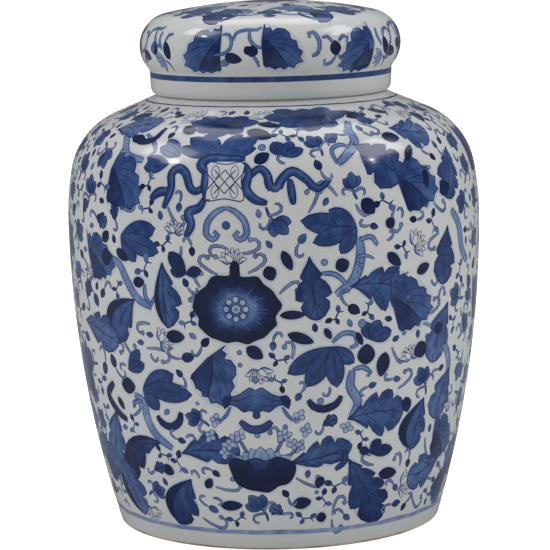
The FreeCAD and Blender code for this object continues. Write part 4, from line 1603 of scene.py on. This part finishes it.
def glaze():
    """Cobalt under a clear, faintly blue glaze: washes that pool and streak, and tiny specks."""
    nodes = Nodes("painted_glaze")
    place = nodes.add("ShaderNodeTexCoord").outputs["Object"]
    painted = nodes.attribute("tone")
    wash = nodes.between(painted, 0.02, 0.3)
    pools = nodes.noise(place, 170, 3, 0.55)
    streaks = nodes.noise(place, 420, 2, 0.5, (1, 1, 0.35))
    uneven = nodes.math("ADD", nodes.math("MULTIPLY", nodes.math("SUBTRACT", pools, 0.5), POOLING),
                        nodes.math("MULTIPLY", nodes.math("SUBTRACT", streaks, 0.5), STREAKING))
    in_washes = nodes.math("MULTIPLY", uneven, nodes.math("MULTIPLY", wash, UNEVEN))
    painted = nodes.math("ADD", painted, in_washes)
    colour = nodes.ramp(nodes.math("MAXIMUM", painted, 0.0), COBALT)
    cloudy = nodes.between(nodes.noise(place, 22, 2), 0.35, 0.7)
    cast = nodes.math("MULTIPLY", cloudy, 0.35)
    bluish = nodes.mix_colour(cast, (1, 1, 1, 1), linear((236, 242, 250)))
    colour = nodes.mix_colour(1.0, colour, bluish, "MULTIPLY")
    specks = nodes.between(nodes.noise(place, 900, 1, 0.4), 0.80, 0.84)
    colour = nodes.mix_colour(nodes.math("MULTIPLY", specks, 0.5), colour, linear((120, 116, 108)))
    nodes.link(colour, nodes.shader.inputs["Base Color"])

    waves = nodes.noise(place, 60, 1, 0.4)
    peel = nodes.noise(place, 650, 1, 0.4)
    throwing = nodes.noise(place, 9, 2, 0.5, (0.2, 0.2, 18))
    normal = nodes.bump(waves, 0.0006)
    normal = nodes.bump(peel, 0.00002, under=normal)
    normal = nodes.bump(throwing, 0.00012, under=normal)
    nodes.link(normal, nodes.shader.inputs["Normal"])
    nodes.link(nodes.blend(nodes.noise(place, 35, 2), 0.10, 0.22), nodes.shader.inputs["Roughness"])
    nodes.shader.inputs["IOR"].default_value = GLASS_IOR
    nodes.shader.inputs["Coat Weight"].default_value = 0.15
    nodes.shader.inputs["Coat Roughness"].default_value = 0.04
    nodes.shader.inputs["Coat IOR"].default_value = GLASS_IOR
    return nodes.material


def bare_clay():
    """Unglazed porcelain where the pieces stood in the kiln: dry, warm, a little gritty and stained."""
    nodes = Nodes("bare_clay")
    place = nodes.add("ShaderNodeTexCoord").outputs["Object"]
    stain = nodes.between(nodes.noise(place, 60, 3), 0.3, 0.75)
    colour = nodes.ramp(stain, [(0.0, (214, 205, 184)), (0.55, (183, 164, 130)), (1.0, (122, 97, 66))])
    nodes.link(colour, nodes.shader.inputs["Base Color"])
    grit = nodes.noise(place, 1600, 3, 0.6)
    nodes.link(nodes.bump(grit, 0.00012), nodes.shader.inputs["Normal"])
    nodes.link(nodes.blend(stain, 0.75, 0.92), nodes.shader.inputs["Roughness"])
    return nodes.material


def studio_paper():
    """The white sweep that the jar stands on, lit up to plain white for the camera."""
    nodes = Nodes("studio_paper")
    place = nodes.add("ShaderNodeTexCoord").outputs["Object"]
    grain = nodes.noise(place, 40, 2)
    rays = nodes.add("ShaderNodeLightPath").outputs
    paper = nodes.ramp(grain, [(0.3, (247, 247, 247)), (0.7, (250, 250, 250))])
    paper = nodes.mix_colour(rays["Is Glossy Ray"], paper, linear(PAPER_IN_GLAZE))
    nodes.link(paper, nodes.shader.inputs["Base Color"])
    nodes.shader.inputs["Roughness"].default_value = 0.9
    nodes.shader.inputs["Emission Color"].default_value = (1, 1, 1, 1)
    glow = nodes.math("MULTIPLY", rays["Is Camera Ray"], PAPER_GLOW)
    nodes.link(glow, nodes.shader.inputs["Emission Strength"])
    return nodes.material


# ---------------------------------------------------------------------------------------------------
# Studio
# ---------------------------------------------------------------------------------------------------

# the camera, with its lens in mm and its roll in degrees
EYE = Vector((0.0, -1.2745, 0.3088))
AIM = Vector((0.0, 0.0, 0.11988))
LENS = 169.6
ROLL = -1.213
# how bright the room is for the jar, and as it is mirrored in the glaze
ROOM_LIGHT, ROOM_SHINE = 0.44, 0.14
PAPER_GLOW = 0.8
# the paper is drawn darker where the glaze mirrors it
PAPER_IN_GLAZE = (150, 150, 150)
FLOOR_REACH = 12

# two small bright lamps make the sharp highlights, and wide panels overhead the soft ones: name, place,
# size and watts
LAMPS = [
    ("lamp_left", (-1.40, -0.52, 1.45), (0.05, 0.05), 1.6),
    ("lamp_right", (1.43, -0.60, 1.40), (0.05, 0.05), 1.6),
    ("panel_left", (-1.0, -0.1, 1.3), (0.7, 0.5), 4.5),
    ("panel_right", (1.0, -0.1, 1.3), (0.7, 0.5), 4.5),
    ("panel_top", (0, 0.5, 1.6), (1.2, 0.8), 6),
]
LAMP_AIM = Vector((0, 0, 0.15))


def add_camera():
    camera = bpy.data.cameras.new("camera")
    camera.lens = LENS
    camera.sensor_width = 36
    camera.clip_end = 50
    holder = bpy.data.objects.new("camera", camera)
    bpy.context.scene.collection.objects.link(holder)
    look = (AIM - EYE).to_track_quat("-Z", "Y").to_matrix().to_4x4()
    holder.matrix_world = Matrix.Translation(EYE) @ look @ Matrix.Rotation(math.radians(ROLL), 4, "Z")
    bpy.context.scene.camera = holder


def add_lamp(name, place, size, watts):
    lamp = bpy.data.lights.new(name, "AREA")
    lamp.shape = "RECTANGLE"
    lamp.size, lamp.size_y = size
    lamp.energy = watts
    holder = bpy.data.objects.new(name, lamp)
    bpy.context.scene.collection.objects.link(holder)
    holder.location = place
    holder.rotation_euler = (LAMP_AIM - Vector(place)).to_track_quat("-Z", "Y").to_euler()


def add_world():
    """A white room for the camera, a softer grey one to light the jar, and a dim one to shine on it."""
    world = bpy.data.worlds.new("studio")
    world.use_nodes = True
    nodes, links = world.node_tree.nodes, world.node_tree.links
    seen = nodes.new("ShaderNodeLightPath")
    mirrored, strength = nodes.new("ShaderNodeMapRange"), nodes.new("ShaderNodeMapRange")
    mirrored.inputs["To Min"].default_value = ROOM_LIGHT
    mirrored.inputs["To Max"].default_value = ROOM_SHINE
    strength.inputs["To Max"].default_value = 1.0
    links.new(seen.outputs["Is Glossy Ray"], mirrored.inputs["Value"])
    links.new(mirrored.outputs["Result"], strength.inputs["To Min"])
    links.new(seen.outputs["Is Camera Ray"], strength.inputs["Value"])
    links.new(strength.outputs["Result"], nodes["Background"].inputs["Strength"])
    nodes["Background"].inputs["Color"].default_value = (1, 1, 1, 1)
    bpy.context.scene.world = world


def add_studio():
    add_world()
    for lamp in LAMPS:
        add_lamp(*lamp)
    paper = bpy.data.meshes.new("floor")
    corners = [(x * FLOOR_REACH, y * FLOOR_REACH, 0) for x, y in ((-1, -1), (1, -1), (1, 1), (-1, 1))]
    paper.from_pydata(corners, [], [(0, 1, 2, 3)])
    paper.materials.append(studio_paper())
    floor = bpy.data.objects.new("floor", paper)
    bpy.context.scene.collection.objects.link(floor)
    bpy.context.scene.view_settings.view_transform = "Standard"


# ---------------------------------------------------------------------------------------------------
# Making
# ---------------------------------------------------------------------------------------------------


def main():
    add_camera()
    materials = [glaze(), bare_clay()]
    pieces = ((jar_shell(materials), "jar", "jar_body"), (lid_shell(materials), "cap", "lid"))
    for piece, body, node in pieces:
        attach(piece, body)
        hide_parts(node)
    add_studio()


main()
